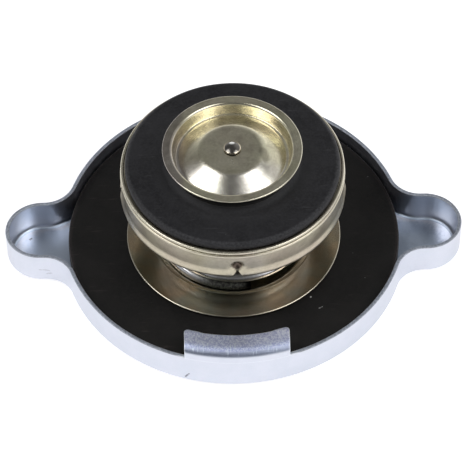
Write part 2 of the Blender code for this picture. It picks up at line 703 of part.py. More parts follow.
def build():
    clear_scene()
    zinc = material("zinc_plate", (0.62, 0.65, 0.70), 0.32, 1.0)
    gold = material("gold_passivate", (0.62, 0.57, 0.42), 0.30, 1.0)
    steel = material("spring_steel", (0.30, 0.31, 0.33), 0.25, 1.0)
    rubber = material("black_rubber", (0.018, 0.018, 0.02), 0.60, 0.0)
    brass = material("brass", (0.55, 0.42, 0.20), 0.35, 1.0)

    cap = frame("cap_frame")
    inner = frame("inner_frame")
    inner.parent = cap
    pressure = frame("pressure_valve_frame")
    pressure.parent = inner
    vacuum = frame("vacuum_valve_frame")
    vacuum.parent = pressure

    place("shell", shell_mesh(), zinc, cap)
    place("centre_rivet", rivet_mesh(), steel, cap)

    place("diaphragm_spring", diaphragm_mesh(), steel, inner, DIAPHRAGM_Z)
    place("upper_gasket", gasket_mesh(), rubber, inner, GASKET_Z)
    place("gasket_retainer", retainer_mesh(), gold, inner, RETAINER_Z)
    place("valve_guide", guide_mesh(), gold, inner, GUIDE_Z)
    washer = ring(RIVET_HOLE_R, RIVET_WASHER_R, RIVET_WASHER_T, SMALL_STEPS, "rivet_washer")
    place("rivet_washer", washer, zinc, inner, RIVET_WASHER_Z)
    spring = coil(SPRING_R, SPRING_WIRE, CUP_Z - SEAT - SPRING_Z, SPRING_WIRE + SPRING_CLOSED_GAP,
                  SPRING_ACTIVE_TURNS, SPRING_START, "pressure_spring", WIRE_STEPS, 8, SPRING_GROUND)
    place("pressure_spring", spring, steel, inner, SPRING_Z)

    cup = place("retaining_cup", cup_mesh(), gold, pressure, CUP_Z)
    cut(cup, slot_cutter(), gold, pressure, CUP_Z)
    carrier = place("seal_carrier", carrier_mesh(), gold, pressure, CARRIER_Z)
    cut(carrier, vent_cutter(), gold, pressure, CARRIER_Z)
    place("pressure_seal", seal_mesh(), rubber, pressure, SEAL_Z)

    place("vacuum_plate", plate_mesh(), gold, vacuum, PLATE_Z)
    place("vacuum_stem", stem_mesh(), brass, vacuum, PLATE_Z)
    small = coil(VACUUM_SPRING_R, VACUUM_WIRE, VACUUM_SPRING_L, VACUUM_WIRE + SPRING_CLOSED_GAP,
                 VACUUM_SPRING_TURNS, 0.0, "vacuum_spring", FINE_WIRE_STEPS, 6)
    place("vacuum_spring", small, steel, vacuum, VACUUM_SPRING_Z)
    keeper = ring(STEM_NECK_R + RUN, VACUUM_WASHER_R, VACUUM_WASHER_T, SMALL_STEPS, "vacuum_spring_washer")
    place("vacuum_spring_washer", keeper, gold, vacuum, VACUUM_WASHER_Z)


build()
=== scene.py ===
"""Looks of the radiator cap: dressed shapes, finishes, light and camera.

The cap lies upside down on z = 0 with its ears along X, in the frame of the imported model.
Sizes are in millimetres here, and add_piece() turns them into metres.
"""

import math

import bmesh
import bpy
import numpy as np
from mathutils import Matrix, Vector


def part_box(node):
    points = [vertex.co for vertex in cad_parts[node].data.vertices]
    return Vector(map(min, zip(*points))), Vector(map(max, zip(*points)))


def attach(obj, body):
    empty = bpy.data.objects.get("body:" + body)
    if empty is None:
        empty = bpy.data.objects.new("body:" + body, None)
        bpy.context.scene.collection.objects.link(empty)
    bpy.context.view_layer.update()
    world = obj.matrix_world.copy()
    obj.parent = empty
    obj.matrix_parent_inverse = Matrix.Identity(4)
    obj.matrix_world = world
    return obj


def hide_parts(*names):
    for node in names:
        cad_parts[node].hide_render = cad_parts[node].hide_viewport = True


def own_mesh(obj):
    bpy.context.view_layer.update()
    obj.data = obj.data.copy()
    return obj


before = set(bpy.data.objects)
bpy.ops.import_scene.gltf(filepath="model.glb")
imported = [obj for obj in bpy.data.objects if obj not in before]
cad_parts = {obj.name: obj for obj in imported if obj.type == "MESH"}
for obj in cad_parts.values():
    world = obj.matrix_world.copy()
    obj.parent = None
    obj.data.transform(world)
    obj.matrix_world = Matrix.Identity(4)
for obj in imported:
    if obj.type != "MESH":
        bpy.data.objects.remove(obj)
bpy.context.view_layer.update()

MM = 0.001


def span(node):
    """Lowest and highest z of a CAD node, in millimetres."""
    low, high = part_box(node)
    return low.z / MM, high.z / MM


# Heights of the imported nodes
RIM_Z = 7.85
TAB_RAISE = 1.2                   # the photo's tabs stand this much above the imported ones
TAB_TOP = span("shell")[1] + TAB_RAISE
GASKET_LOW, GASKET_HIGH = span("upper_gasket")
RETAINER_LOW, RETAINER_HIGH = span("gasket_retainer")
GUIDE_LOW, GUIDE_HIGH = span("valve_guide")
CUP_LOW, CUP_HIGH = span("retaining_cup")
CARRIER_LOW, CARRIER_HIGH = span("seal_carrier")
SEAL_LOW, SEAL_HIGH = span("pressure_seal")
PLATE_HIGH = span("vacuum_plate")[1]
STEM_LOW, STEM_HIGH = span("vacuum_stem")
SPRING_LOW, SPRING_HIGH = span("pressure_spring")
SMALL_SPRING_LOW, SMALL_SPRING_HIGH = span("vacuum_spring")
DIAPHRAGM_HIGH = span("diaphragm_spring")[1]
RIVET_LOW, RIVET_HIGH = span("centre_rivet")

# Shell, a pressed sheet
SHELL_R = 35.5
SHEET = 0.8
OUTER_BEND_R = 1.25
INNER_BEND_R = 0.7
EAR_R = 7.4
EAR_X = 39.9                      # centre of an ear's round end
EAR_FILLET_R = 6.2
RIM_ROUND = 0.22                  # how far the cut edge of the sheet is rounded
DIMPLE_R = 7.6
DIMPLE_LIP_R = 9.2
DIMPLE_H = 1.2

# Cam tabs
TAB_HALF = 10.55
TAB_BEND_R = 1.5
TAB_BEND_REACH = 2.6              # how far in from the wall the bend ends
TAB_REACH = 5.07
TAB_CORNER_R = 1.1
TAB_NUB = 0.15
TAB_NUB_WIDTH = 3.6
TAB_NUB_RAMP = 0.9
TAB_EDGE_ROUND = 0.16

# Rivet and diaphragm
RIVET_HOLE_R = 3.3
RIVET_R = 3.0
RIVET_HEAD_R = 5.6
RIVET_CLENCH_R = 4.4
RIVET_CLENCH_H = 1.2
DIAPHRAGM_R = 32.4
DIAPHRAGM_T = 0.3
WAVE_R = 20.0                     # middle of the wave pressed into the diaphragm
WAVE_HALF = 4.5
WAVE_DEPTH = 0.8
WAVE_BEND_R = 9.0

# Gasket, retainer and guide
GASKET_R = 34.35
RETAINER_R = 22.2
SEAT_STEP_R = 15.85
SEAT_STEP_H = 0.2
GUIDE_R = 11.5
GUIDE_T = 0.7
GUIDE_FLANGE_T = 0.5
GUIDE_FLANGE_REACH = 1.7

# Springs
SPRING_R = 14.5
SPRING_WIRE = 2.3
SPRING_START = math.radians(-78.0)
SPRING_ACTIVE_TURNS = 1.75
SPRING_GROUND = 1.0               # wire ground away under each closed end
CLOSED_RISE = SPRING_WIRE + 0.3
SMALL_SPRING_R = 3.0
SMALL_WIRE = 0.6
SMALL_ACTIVE_TURNS = 3.0
SMALL_CLOSED_RISE = SMALL_WIRE + 0.3
CLOSED_TURN = 0.9                 # turns from an end to where the coil starts to open
SLOPE_CHANGE = 0.2                # turns over which its slope changes
END_CHAMFER = 0.12                # of the wire's thickness

# Crimped cup
CUP_R = 22.65
CUP_T = 0.6
CUP_HOLE_R = 11.8
CUP_BEAD = 0.1
CUP_BEAD_H = 0.6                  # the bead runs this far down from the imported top
CUP_RAISE = 0.18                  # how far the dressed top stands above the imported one
CUP_STEP = 0.35                   # longest step along the section
CUP_FLARE = 0.28                  # how far the wall stands out near its bottom edge
FLARE_Z = 0.9
FLARE_HALF = 1.9
CRIMPS = 4
CRIMP_ANGLE = math.radians(-89.0)
CRIMP_Z = CUP_LOW + 3.6
CRIMP_DEPTH = 1.0
CRIMP_WIDTH = 2.9
CRIMP_HEIGHT = 3.0
SLOT_HALF = ((1.3, -0.6), (1.0, 1.1), (0.66, 1.55), (0.36, 2.0), (0.14, 2.5))
CHEEK_BULGE = 0.16                # how far the metal beside a slot's throat stands out
CHEEK_X = 1.5
CHEEK_WIDTH = 0.7
CHEEK_Z = 2.0
CHEEK_HEIGHT = 1.0

# Carrier and seal
CARRIER_R = 22.65
CARRIER_T = 0.6
CARRIER_STEP = 1.0                # from the bottom of the dish up to the lip's plane
CARRIER_LIP_R = 0.29
VENTS = 4
VENT_R = 1.6
VENT_RING_R = 7.0
SEAL_R = 21.75
SEAL_FOOT_R = 20.65
SEAL_FOOT_H = 1.0
DISH_R = SEAL_FOOT_R + 0.3
SEAL_EDGE_R = 0.8
SEAL_TOP = SEAL_LOW + 2.5
SEAL_BORE_R = 9.6
SEAL_SEAT_R = 12.6
SEAL_SEAT_RUN = 1.2               # how far out the raised seat fades into the top

# Vacuum plate and stem
PLATE_R = 14.1
PLATE_T = 0.5
PLATE_LIP_R = 12.1
GROOVE_OUTER_R = 11.45
GROOVE_INNER_R = 10.85
GROOVE_DEPTH = 2.65
PLATE_TOP_R = 6.3
PLATE_TOP_DROP = 0.3
STEM_R = 1.5
STEM_NECK_R = 1.0
STEM_FOOT_R = 1.75
STEM_FOOT_H = 0.7
STEM_SHOULDER_R = 2.2
STEM_SHOULDER_H = 1.0
STEM_SHOULDER_HIGH = PLATE_HIGH - PLATE_TOP_DROP - PLATE_T - 0.3
STEM_HEAD_R = 1.75
STEM_DOME_R = 3.0
STEM_CLEARANCE = 0.3              # between the stem and the holes round it

MIXED_ROWS = 4                    # rows between the shell's dimple and its wall
AROUND = 240                      # columns of a turned piece
ARC_STEP = math.radians(12)       # longest step round a fillet
WEAR_R = 0.25                     # a bend this tight counts as a full edge
SHARP = 38.0                      # an edge that turns by more degrees than this stays sharp


# Meshes
def quads(index, close_rows, close_columns=True):
    """Faces between neighbours in a table of vertex numbers.

    Rows that climb and columns that run anticlockwise, seen from above, face outwards.
    """
    if close_columns:
        index = np.concatenate([index, index[:, :1]], axis=1)
    if close_rows:
        index = np.concatenate([index, index[:1]], axis=0)
    corners = [index[:-1, :-1], index[:-1, 1:], index[1:, 1:], index[1:, :-1]]
    return np.stack(corners, axis=-1).reshape(-1, 4)


def add_piece(name, points, faces, finish, body, nodes=(), edge=None, sharp=SHARP):
    """Make a mesh of points in millimetres and put it in the scene in place of its CAD nodes.

    edge is how sharply the surface turns outwards at each point, from 0 to 1.
    """
    mesh = bpy.data.meshes.new(name)
    mesh.from_pydata((points.reshape(-1, 3) * MM).tolist(), [], [list(f) for f in faces])
    if edge is not None:
        held = mesh.attributes.new("edge", "FLOAT", "POINT")
        held.data.foreach_set("value", np.ascontiguousarray(edge, np.float32).ravel())
    mesh.materials.append(finish)
    mesh.shade_smooth()
    mesh.set_sharp_from_angle(angle=math.radians(sharp))
    made = bpy.data.objects.new(name, mesh)
    bpy.context.scene.collection.objects.link(made)
    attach(made, body)
    if nodes:
        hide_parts(*nodes)
    return made


def fillets(corners, closed=True):
    """Path (r, z) through corners (r, z, radius), each corner replaced by an arc of its radius.

    The arc starts and ends radius / tan(half the corner's angle) from the corner, and its
    centre lies radius / sin(half the angle) away along the bisector. A point on each side just
    past the arc keeps the flat beside it flat when the mesh is shaded smooth.
    """
    path = []
    count = len(corners)
    for i, (r, z, radius) in enumerate(corners):
        corner = np.array((r, z))
        if radius == 0 or (not closed and i in (0, count - 1)):
            path.append(corner[None])
            continue
        before = np.array(corners[i - 1][:2]) - corner
        after = np.array(corners[(i + 1) % count][:2]) - corner
        room = min(np.linalg.norm(before), np.linalg.norm(after))
        before /= np.linalg.norm(before)
        after /= np.linalg.norm(after)
        half = math.acos(max(-1.0, min(1.0, float(before @ after)))) / 2
        reach = min(radius / math.tan(half), 0.48 * room)
        radius = reach * math.tan(half)
        bisector = (before + after) / np.linalg.norm(before + after)
        centre = corner + bisector * radius / math.sin(half)
        first = corner + before * reach
        last = corner + after * reach
        start = math.atan2(*(first - centre)[::-1])
        turn = math.remainder(math.atan2(*(last - centre)[::-1]) - start, 2 * math.pi)
        steps = max(2, math.ceil(abs(turn) / ARC_STEP))
        angle = start + turn * np.linspace(0, 1, steps + 1)
        arc = centre + radius * np.stack([np.cos(angle), np.sin(angle)], axis=-1)
        beside = min(0.1, 0.015 * room)
        path.append(np.concatenate([[first + before * beside], arc, [last + after * beside]]))
    return np.concatenate(path)


def edge_of(path):
    """How sharply a path of (r, z) turns outwards at each point, 1 where its radius is WEAR_R.

    The path runs anticlockwise, so an outward corner is a turn to the left. Its curvature is
    the turn over the mean length of the two steps.
    """
    before = path - np.roll(path, 1, axis=0)
    after = np.roll(path, -1, axis=0) - path
    cross = before[:, 0] * after[:, 1] - before[:, 1] * after[:, 0]
    turn = np.arctan2(cross, np.sum(before * after, axis=1))
    step = (np.linalg.norm(before, axis=1) + np.linalg.norm(after, axis=1)) / 2
    return np.clip(turn / np.maximum(step, 1e-6) * WEAR_R, 0, 1)


def turned(name, corners, finish, body, nodes, closed=True, steps=AROUND, cut=None):
    """A section of (r, z, fillet radius) corners turned round Z: (r cos a, r sin a, z).

    A section that isn't closed starts and ends on the axis.
    """
    path = fillets(corners, closed)
    angle = 2 * math.pi * np.arange(steps) / steps
    r, z = path[:, :1], path[:, 1:]
    points = np.stack([r * np.cos(angle), r * np.sin(angle), z + 0 * angle], axis=-1)
    edge = np.repeat(edge_of(path), steps)
    faces = quads(np.arange(len(path) * steps).reshape(len(path), steps), closed)
    made = add_piece(name, points, faces.tolist(), finish, body, nodes, edge)
    if not closed:
        close_poles(made.data)
    if cut is not None:
        cut_away(made, cut)
    return made


def close_poles(mesh):
    """Merge the points that meet on the axis."""
    shape = bmesh.new()
    shape.from_mesh(mesh)
    poles = [v for v in shape.verts if math.hypot(v.co.x, v.co.y) < 1e-7]
    bmesh.ops.remove_doubles(shape, verts=poles, dist=1e-6)
    shape.to_mesh(mesh)
    shape.free()


def cut_away(made, points_and_faces):
    """Take a closed shape out of a piece with an exact Boolean, and keep the result as its mesh."""
    points, faces = points_and_faces
    mesh = bpy.data.meshes.new("cutter")
    mesh.from_pydata((points.reshape(-1, 3) * MM).tolist(), [], faces)
    cutter = bpy.data.objects.new("cutter", mesh)
    bpy.context.scene.collection.objects.link(cutter)
    boolean = made.modifiers.new("cut", "BOOLEAN")
    boolean.operation = "DIFFERENCE"
    boolean.solver = "EXACT"
    boolean.object = cutter
    bpy.context.view_layer.update()
    graph = bpy.context.evaluated_depsgraph_get()
    result = bpy.data.meshes.new_from_object(made.evaluated_get(graph))
    made.modifiers.clear()
    made.data = result
    result.set_sharp_from_angle(angle=math.radians(SHARP))
    bpy.data.objects.remove(cutter)


def bars(sections):
    """Closed prisms between pairs of matching polygons, each a (k, 3) array.

    Both are anticlockwise, seen from the second one's side.
    """
    points, faces, first = [], [], 0
    for near, far in sections:
        k = len(near)
        points += [near, far]
        faces.append(list(range(first + k - 1, first - 1, -1)))
        faces.append(list(range(first + k, first + 2 * k)))
        for i in range(k):
            j = (i + 1) % k
            faces.append([first + i, first + j, first + k + j, first + k + i])
        first += 2 * k
    return np.concatenate(points), faces


# Node helpers
def feed(tree, socket, value):
    """Link a socket to another node's output, or set it to a plain value."""
    if isinstance(value, bpy.types.NodeSocket):
        tree.links.new(value, socket)
    else:
        socket.default_value = value


def add_node(tree, kind, settings=None, **inputs):
    """A shader node, with its inputs set to values or linked to other nodes' outputs."""
    made = tree.nodes.new("ShaderNode" + kind)
    for key, value in (settings or {}).items():
        setattr(made, key, value)
    for label, value in inputs.items():
        feed(tree, made.inputs[label.replace("_", " ")], value)
    return made


def calc(tree, operation, *values, clamp=False):
    """One Math node."""
    made = tree.nodes.new("ShaderNodeMath")
    made.operation = operation
    made.use_clamp = clamp
    for socket, value in zip(made.inputs, values):
        feed(tree, socket, value)
    return made.outputs[0]


def times(tree, a, b):
    """The product of two values."""
    return calc(tree, "MULTIPLY", a, b)


def vector_calc(tree, operation, *values, output="Vector"):
    """One Vector Math node."""
    made = tree.nodes.new("ShaderNodeVectorMath")
    made.operation = operation
    for socket, value in zip(made.inputs, values):
        feed(tree, socket, value)
    return made.outputs[output]


def axis_distance(tree, place):
    """Distance from the Z axis."""
    level = vector_calc(tree, "MULTIPLY", place, (1.0, 1.0, 0.0))
    return vector_calc(tree, "LENGTH", level, output="Value")


def ease(tree, value, low, high):
    """0 at low, 1 at high, smooth between; low may be above high."""
    made = add_node(tree, "MapRange", {"interpolation_type": "SMOOTHSTEP"}, Value=value)
    made.inputs["From Min"].default_value = low
    made.inputs["From Max"].default_value = high
    return made.outputs["Result"]


def fade(tree, length, low, high):
    """ease() on a length, between two lengths in millimetres."""
    return ease(tree, length, low * MM, high * MM)


def spread(tree, value, low, high):
    """Carry a value of 0 to 1 over to low to high."""
    made = add_node(tree, "MapRange", Value=value, To_Min=low, To_Max=high)
    return made.outputs["Result"]


def mix_colour(tree, share, a, b, blend="MIX"):
    """Colour a where share is 0 and b where it is 1; each is an RGB triple or a socket."""
    made = tree.nodes.new("ShaderNodeMix")
    made.data_type = "RGBA"
    made.blend_type = blend
    feed(tree, made.inputs["Factor"], share)
    for socket, colour in ((made.inputs[6], a), (made.inputs[7], b)):
        feed(tree, socket, (*colour, 1.0) if isinstance(colour, tuple) else colour)
    return made.outputs[2]


def tint(tree, colour, mask, other, share=1.0, blend="MIX"):
    """Mix another colour into this one where the mask is, by a share of it.

    With blend "MULTIPLY" the other colour is multiplied in.
    """
    if share != 1.0:
        mask = times(tree, mask, share)
    return mix_colour(tree, mask, colour, other, blend)


def noise(tree, vector, size, detail=2.0, roughness=0.5):
    """Noise with features about size millimetres across; size may be a socket."""
    if isinstance(size, bpy.types.NodeSocket):
        scale = calc(tree, "DIVIDE", 1.0 / MM, size)
    else:
        scale = 1.0 / (size * MM)
    made = add_node(tree, "TexNoise", Vector=vector, Scale=scale, Detail=detail,
                    Roughness=roughness)
    return made.outputs["Fac"]


def new_group(name, inputs, outputs):
    """An empty node group with its named sockets; returns its tree, inputs and output node."""
    tree = bpy.data.node_groups.new(name, "ShaderNodeTree")
    for label, value in inputs.items():
        kind = "NodeSocketVector" if isinstance(value, tuple) else "NodeSocketFloat"
        socket = tree.interface.new_socket(name=label, in_out="INPUT", socket_type=kind)
        socket.default_value = value
    for label in outputs:
        tree.interface.new_socket(name=label, in_out="OUTPUT", socket_type="NodeSocketFloat")
    return tree, tree.nodes.new("NodeGroupInput").outputs, tree.nodes.new("NodeGroupOutput").inputs


def use(tree, group, **inputs):
    """Place a node group and return its outputs."""
    made = tree.nodes.new("ShaderNodeGroup")
    made.node_tree = group
    for label, value in inputs.items():
        feed(tree, made.inputs[label.replace("_", " ")], value)
    return made.outputs


# Effects shared by the finishes
def sheet_grain():
    """Blotch: soft patches of the plating. Fine: its crystal grain."""
    tree, given, out = new_group(
        "sheet_grain", {"Vector": (0.0, 0.0, 0.0), "Blotch Size": 3.0, "Grain Size": 0.25},
        ["Blotch", "Fine"])
    blotch = noise(tree, given["Vector"], given["Blotch Size"], 5.0, 0.62)
    fine = noise(tree, given["Vector"], given["Grain Size"], 3.0, 0.65)
    tree.links.new(ease(tree, blotch, 0.3, 0.7), out["Blotch"])
    tree.links.new(ease(tree, fine, 0.25, 0.75), out["Fine"])
    return tree


def edge_wear():
    """Mask of the outward edges, broken up by noise where the plating is rubbed thin."""
    tree, given, out = new_group(
        "edge_wear", {"Vector": (0.0, 0.0, 0.0), "Amount": 1.0, "Break Size": 0.8}, ["Mask"])
    edge = add_node(tree, "Attribute", {"attribute_name": "edge"}).outputs["Fac"]
    broken = noise(tree, given["Vector"], given["Break Size"], 4.0, 0.6)
    held = times(tree, edge, given["Amount"])
    lifted = calc(tree, "ADD", held, calc(tree, "SUBTRACT", broken, 0.5))
    mask = times(tree, ease(tree, lifted, 0.25, 0.85), calc(tree, "MINIMUM", held, 1.0))
    tree.links.new(mask, out["Mask"])
    return tree


def specks():
    """Scattered grains of dust: cells of a Voronoi pattern, of which only a share holds one."""
    tree, given, out = new_group(
        "specks", {"Vector": (0.0, 0.0, 0.0), "Cell Size": 2.0, "Share": 0.2, "Reach": 0.1},
        ["Mask"])
    scale = calc(tree, "DIVIDE", 1.0 / MM, given["Cell Size"])
    cells = add_node(tree, "TexVoronoi", Vector=given["Vector"], Scale=scale)
    parts = add_node(tree, "SeparateColor", Color=cells.outputs["Color"]).outputs
    chosen = calc(tree, "LESS_THAN", parts["Red"], given["Share"])
    reach = times(tree, given["Reach"], parts["Green"])
    inside = calc(tree, "LESS_THAN", cells.outputs["Distance"], reach)
    tree.links.new(times(tree, chosen, inside), out["Mask"])
    return tree


def scratch():
    """A short mark between two places: 1 within its width of the line, fading to 0."""
    tree, given, out = new_group(
        "scratch", {"Vector": (0.0, 0.0, 0.0), "From": (0.0, 0.0, 0.0), "To": (0.0, 0.0, 0.0),
                    "Width": 0.3}, ["Mask"])
    start = vector_calc(tree, "SCALE", given["From"])
    start.node.inputs["Scale"].default_value = MM
    end = vector_calc(tree, "SCALE", given["To"])
    end.node.inputs["Scale"].default_value = MM
    line = vector_calc(tree, "SUBTRACT", end, start)
    reach = vector_calc(tree, "SUBTRACT", given["Vector"], start)
    along = calc(tree, "DIVIDE", vector_calc(tree, "DOT_PRODUCT", reach, line, output="Value"),
                 vector_calc(tree, "DOT_PRODUCT", line, line, output="Value"), clamp=True)
    foot = vector_calc(tree, "SCALE", line)
    tree.links.new(along, foot.node.inputs["Scale"])
    away = vector_calc(tree, "LENGTH", vector_calc(tree, "SUBTRACT", reach, foot), output="Value")
    ragged = times(tree, noise(tree, given["Vector"], 0.35, 3.0), 0.6 * MM)
    away = calc(tree, "ADD", away, calc(tree, "SUBTRACT", ragged, 0.3 * MM))
    depth = calc(tree, "DIVIDE", away, times(tree, given["Width"], MM))
    tree.links.new(ease(tree, depth, 1.0, 0.3), out["Mask"])
    return tree


def turned_lines():
    """Rings left by the tool: noise over radius and height only, faded in and out in patches."""
    tree, given, out = new_group(
        "turned_lines", {"Vector": (0.0, 0.0, 0.0), "Pitch": 0.3}, ["Lines"])
    parts = add_node(tree, "SeparateXYZ", Vector=given["Vector"]).outputs
    profile = add_node(tree, "CombineXYZ", X=axis_distance(tree, given["Vector"]), Z=parts["Z"])
    lines = noise(tree, profile.outputs["Vector"], given["Pitch"], 2.0, 0.7)
    patch = noise(tree, given["Vector"], 5.0, 2.0)
    away = times(tree, calc(tree, "SUBTRACT", lines, 0.5), ease(tree, patch, 0.35, 0.65))
    tree.links.new(calc(tree, "ADD", away, 0.5), out["Lines"])
    return tree


GRAIN = sheet_grain()
WEAR = edge_wear()
SPECKS = specks()
SCRATCH = scratch()
LINES = turned_lines()


# Small marks on the finishes: start, end and width in millimetres
RIM_NICKS = (
    ((-10.5, -33.9, 1.6), (-10.15, -34.0, 2.2), 0.28),
    ((-10.1, -34.0, 2.3), (-9.7, -34.15, 2.75), 0.16),
    ((-42.7, 3.2, 0.85), (-42.4, 3.4, 0.85), 0.3))
EAR_SCUFFS = (
    ((-40.4, -7.4, 3.9), (-38.2, -7.5, 3.6), 0.2),
    ((-38.8, -7.42, 2.5), (-37.9, -7.55, 2.9), 0.26))
PLATE_RUB = (((6.2, -0.6, 31.7), (6.6, -2.2, 31.5), 1.4),)
RETAINER_SPOTS = (
    ((-2.0, -20.1, 5.55), (-1.9, -19.9, 5.55), 0.15),
    ((4.4, -19.7, 5.55), (4.5, -19.6, 5.55), 0.15))
GASKET_LINT = (
    ((15.3, -17.1, 4.75), (15.45, -16.8, 4.75), 0.15),
    ((17.0, -19.9, 4.75), (17.6, -19.5, 4.75), 0.12))

# Places along a spring's wire, in wire thicknesses from its start
TIP_END = 1.2                     # from the wire's start up to here it is near black
LOW_SCALE_END = 7.0               # dull scale where the wire starts
FRONT_SHADE = 41.0                 # middle of a patch of painted shade on the coil straight in front, in the scale's dark colours
PAINTED_GLINT = 36.6                     # middle of a painted highlight, on the coil at the front right

STEM_CROWN = STEM_HIGH - 0.44     # above this the stem's head is dark round a painted highlight
STEM_HIGHLIGHT = (-0.05, 0.95)         # x and y of that painted highlight
DIRT = (0.09, 0.075, 0.05)


# Finishes
def new_finish(name):
    """A material, its Principled shader, and the object coordinates that its patterns read."""
    made = bpy.data.materials.new(name)
    made.use_nodes = True
    tree = made.node_tree
    shader = tree.nodes["Principled BSDF"]
    place = add_node(tree, "TexCoord").outputs["Object"]
    return made, tree, shader, place


def fill_shader(tree, shader, colour, rough, height, depth, metallic=1.0):
    """Give a shader its colour and roughness, and relief depth millimetres high."""
    tree.links.new(colour, shader.inputs["Base Color"])
    tree.links.new(rough, shader.inputs["Roughness"])
    shader.inputs["Metallic"].default_value = metallic
    relief = add_node(tree, "Bump", Height=height, Strength=1.0, Distance=depth * MM)
    tree.links.new(relief.outputs["Normal"], shader.inputs["Normal"])


def marks_of(tree, place, lines):
    """One mask of several scratches, each given by its ends and its width in millimetres."""
    marks = None
    for start, end, width in lines:
        mask = use(tree, SCRATCH, Vector=place, From=start, To=end, Width=width)["Mask"]
        marks = mask if marks is None else calc(tree, "MAXIMUM", marks, mask)
    return marks


def zinc_finish():
    """Bright zinc plate: bluish and softly blotched, painted darker and bluer where it lies flat, as
    painted shade.

    The bent tabs are granular, with streaks near the bend and painted shade along it, and the sheet's
    cut rim is dull.
    """
    made, tree, shader, place = new_finish("zinc_plate")
    grain = use(tree, GRAIN, Vector=place, Blotch_Size=4.5, Grain_Size=0.22)
    parts = add_node(tree, "SeparateXYZ", Vector=place).outputs
    normal = add_node(tree, "TexCoord").outputs["Normal"]
    facing = add_node(tree, "SeparateXYZ", Vector=normal).outputs["Z"]
    width = calc(tree, "ABSOLUTE", parts["X"])
    depth = calc(tree, "ABSOLUTE", parts["Y"])

    # Lit and shaded copies of the zinc: faces that lie flat get a darker, bluer colour, painted shade
    # that stands in for the dim sky they reflect.
    upright = mix_colour(tree, grain["Blotch"], (0.64, 0.67, 0.75), (0.69, 0.71, 0.79))
    flat_painted_shade = mix_colour(tree, grain["Blotch"], (0.40, 0.48, 0.61), (0.58, 0.67, 0.80))
    # Painted light and shade on the ears' flat floors: the left ear's is painted a fixed lighter
    # blue, and past the right ear's round end it is painted darker.
    flat_painted_shade = mix_colour(tree, fade(tree, parts["X"], -30.0, 30.0), (0.57, 0.655, 0.79), flat_painted_shade)
    right_ear_painted_shade = fade(tree, parts["X"], EAR_X + 0.1, EAR_X + 5.1)
    flat_painted_shade = tint(tree, flat_painted_shade, right_ear_painted_shade, (0.30, 0.34, 0.42))
    colour = mix_colour(tree, ease(tree, facing, 0.3, 0.85), upright, flat_painted_shade)

    on_tab = fade(tree, parts["Z"], TAB_TOP - 1.1, TAB_TOP - 0.4)
    crystals = ease(tree, noise(tree, place, 0.34, 4.0, 0.7), 0.40, 0.60)
    fine = mix_colour(tree, on_tab, times(tree, grain["Fine"], 0.12), crystals)
    colour = tint(tree, colour, on_tab, (0.43, 0.49, 0.78))
    colour = tint(tree, colour, fine, (0.78, 0.84, 1.0), 0.9)
    # Painted shade: where the tab's bend turns into the flange it is painted darker.
    bend_painted_shade = times(tree, ease(tree, facing, 0.98, 0.85), on_tab)
    colour = tint(tree, colour, bend_painted_shade, (0.34, 0.38, 0.50), 0.95)
    stretched = add_node(tree, "Mapping", Vector=place, Scale=(1.0, 0.10, 0.10)).outputs["Vector"]
    draw = noise(tree, stretched, 0.38, 3.0, 0.6)
    near_bend = times(tree, on_tab, fade(tree, depth, SHELL_R - 3.6, SHELL_R - 2.3))
    streaks = times(tree, ease(tree, draw, 0.56, 0.68), near_bend)
    colour = tint(tree, colour, streaks, (0.85, 0.94, 1.0), 0.7)

    wear = use(tree, WEAR, Vector=place, Amount=0.9, Break_Size=0.6)["Mask"]
    colour = tint(tree, colour, wear, (0.80, 0.83, 0.90))
    colour = tint(tree, colour, marks_of(tree, place, RIM_NICKS), (0.06, 0.06, 0.08), 0.8)
    colour = tint(tree, colour, marks_of(tree, place, EAR_SCUFFS), (0.2, 0.2, 0.23), 0.3)

    at_tab = times(tree, fade(tree, width, TAB_HALF + 2.45, TAB_HALF + 0.45),
                   fade(tree, depth, SHELL_R - 7.5, SHELL_R - 5.5))
    sheared = times(tree, fade(tree, parts["Z"], RIM_Z - RIM_ROUND, RIM_Z - 0.06),
                    calc(tree, "SUBTRACT", 1.0, at_tab))
    torn = ease(tree, noise(tree, place, 0.4, 3.0, 0.7), 0.35, 0.65)
    cut_colour = mix_colour(tree, torn, (0.25, 0.27, 0.31), (0.44, 0.47, 0.54))
    colour = tint(tree, colour, sheared, cut_colour, 0.85)

    duller = calc(tree, "MAXIMUM", times(tree, fine, 0.12), times(tree, sheared, 0.25))
    rough = calc(tree, "ADD", spread(tree, grain["Blotch"], 0.31, 0.39), duller)
    height = calc(tree, "ADD", times(tree, grain["Fine"], spread(tree, on_tab, 0.35, 1.0)),
                  times(tree, draw, 0.4))
    fill_shader(tree, shader, colour, rough, height, 0.012)
    return made


def dish_painted_light(tree, colour, parts, flat):
    """Painted light on the vacuum plate, multiplied into its passivate.

    The left of its groove is painted darker and cooler, as painted shade, and the front of its cone
    is tinted silvery where its highlights fall. Between its flat top and its lip it is painted
    lighter behind and at the right, as painted highlight.
    """
    past_top = fade(tree, flat, PLATE_TOP_R - 0.1, PLATE_TOP_R + 0.6)
    # Painted shade at the left of the groove.
    left = fade(tree, parts["X"], -9.0, -11.0)
    colour = tint(tree, colour, left, (0.66, 0.64, 0.72), blend="MULTIPLY")
    # Painted highlight behind and at the right, between the flat top and the lip.
    back = times(tree, fade(tree, parts["Y"], 1.0, 5.0), past_top)
    painted_sheen = calc(tree, "MAXIMUM", fade(tree, parts["X"], 5.0, 10.0), back)
    painted_sheen = times(tree, painted_sheen, fade(tree, flat, PLATE_LIP_R + 0.2, PLATE_LIP_R - 0.3))
    colour = tint(tree, colour, painted_sheen, (1.28, 1.26, 1.22), blend="MULTIPLY")
    # The front of the cone tinted silvery, so that its highlights read whiter.
    front = times(tree, fade(tree, parts["Y"], -1.5, -4.5), past_top)
    cone = times(tree, front, fade(tree, flat, GROOVE_OUTER_R + 0.15, GROOVE_OUTER_R - 0.45))
    return tint(tree, colour, cone, (1.04, 1.06, 1.22), blend="MULTIPLY")


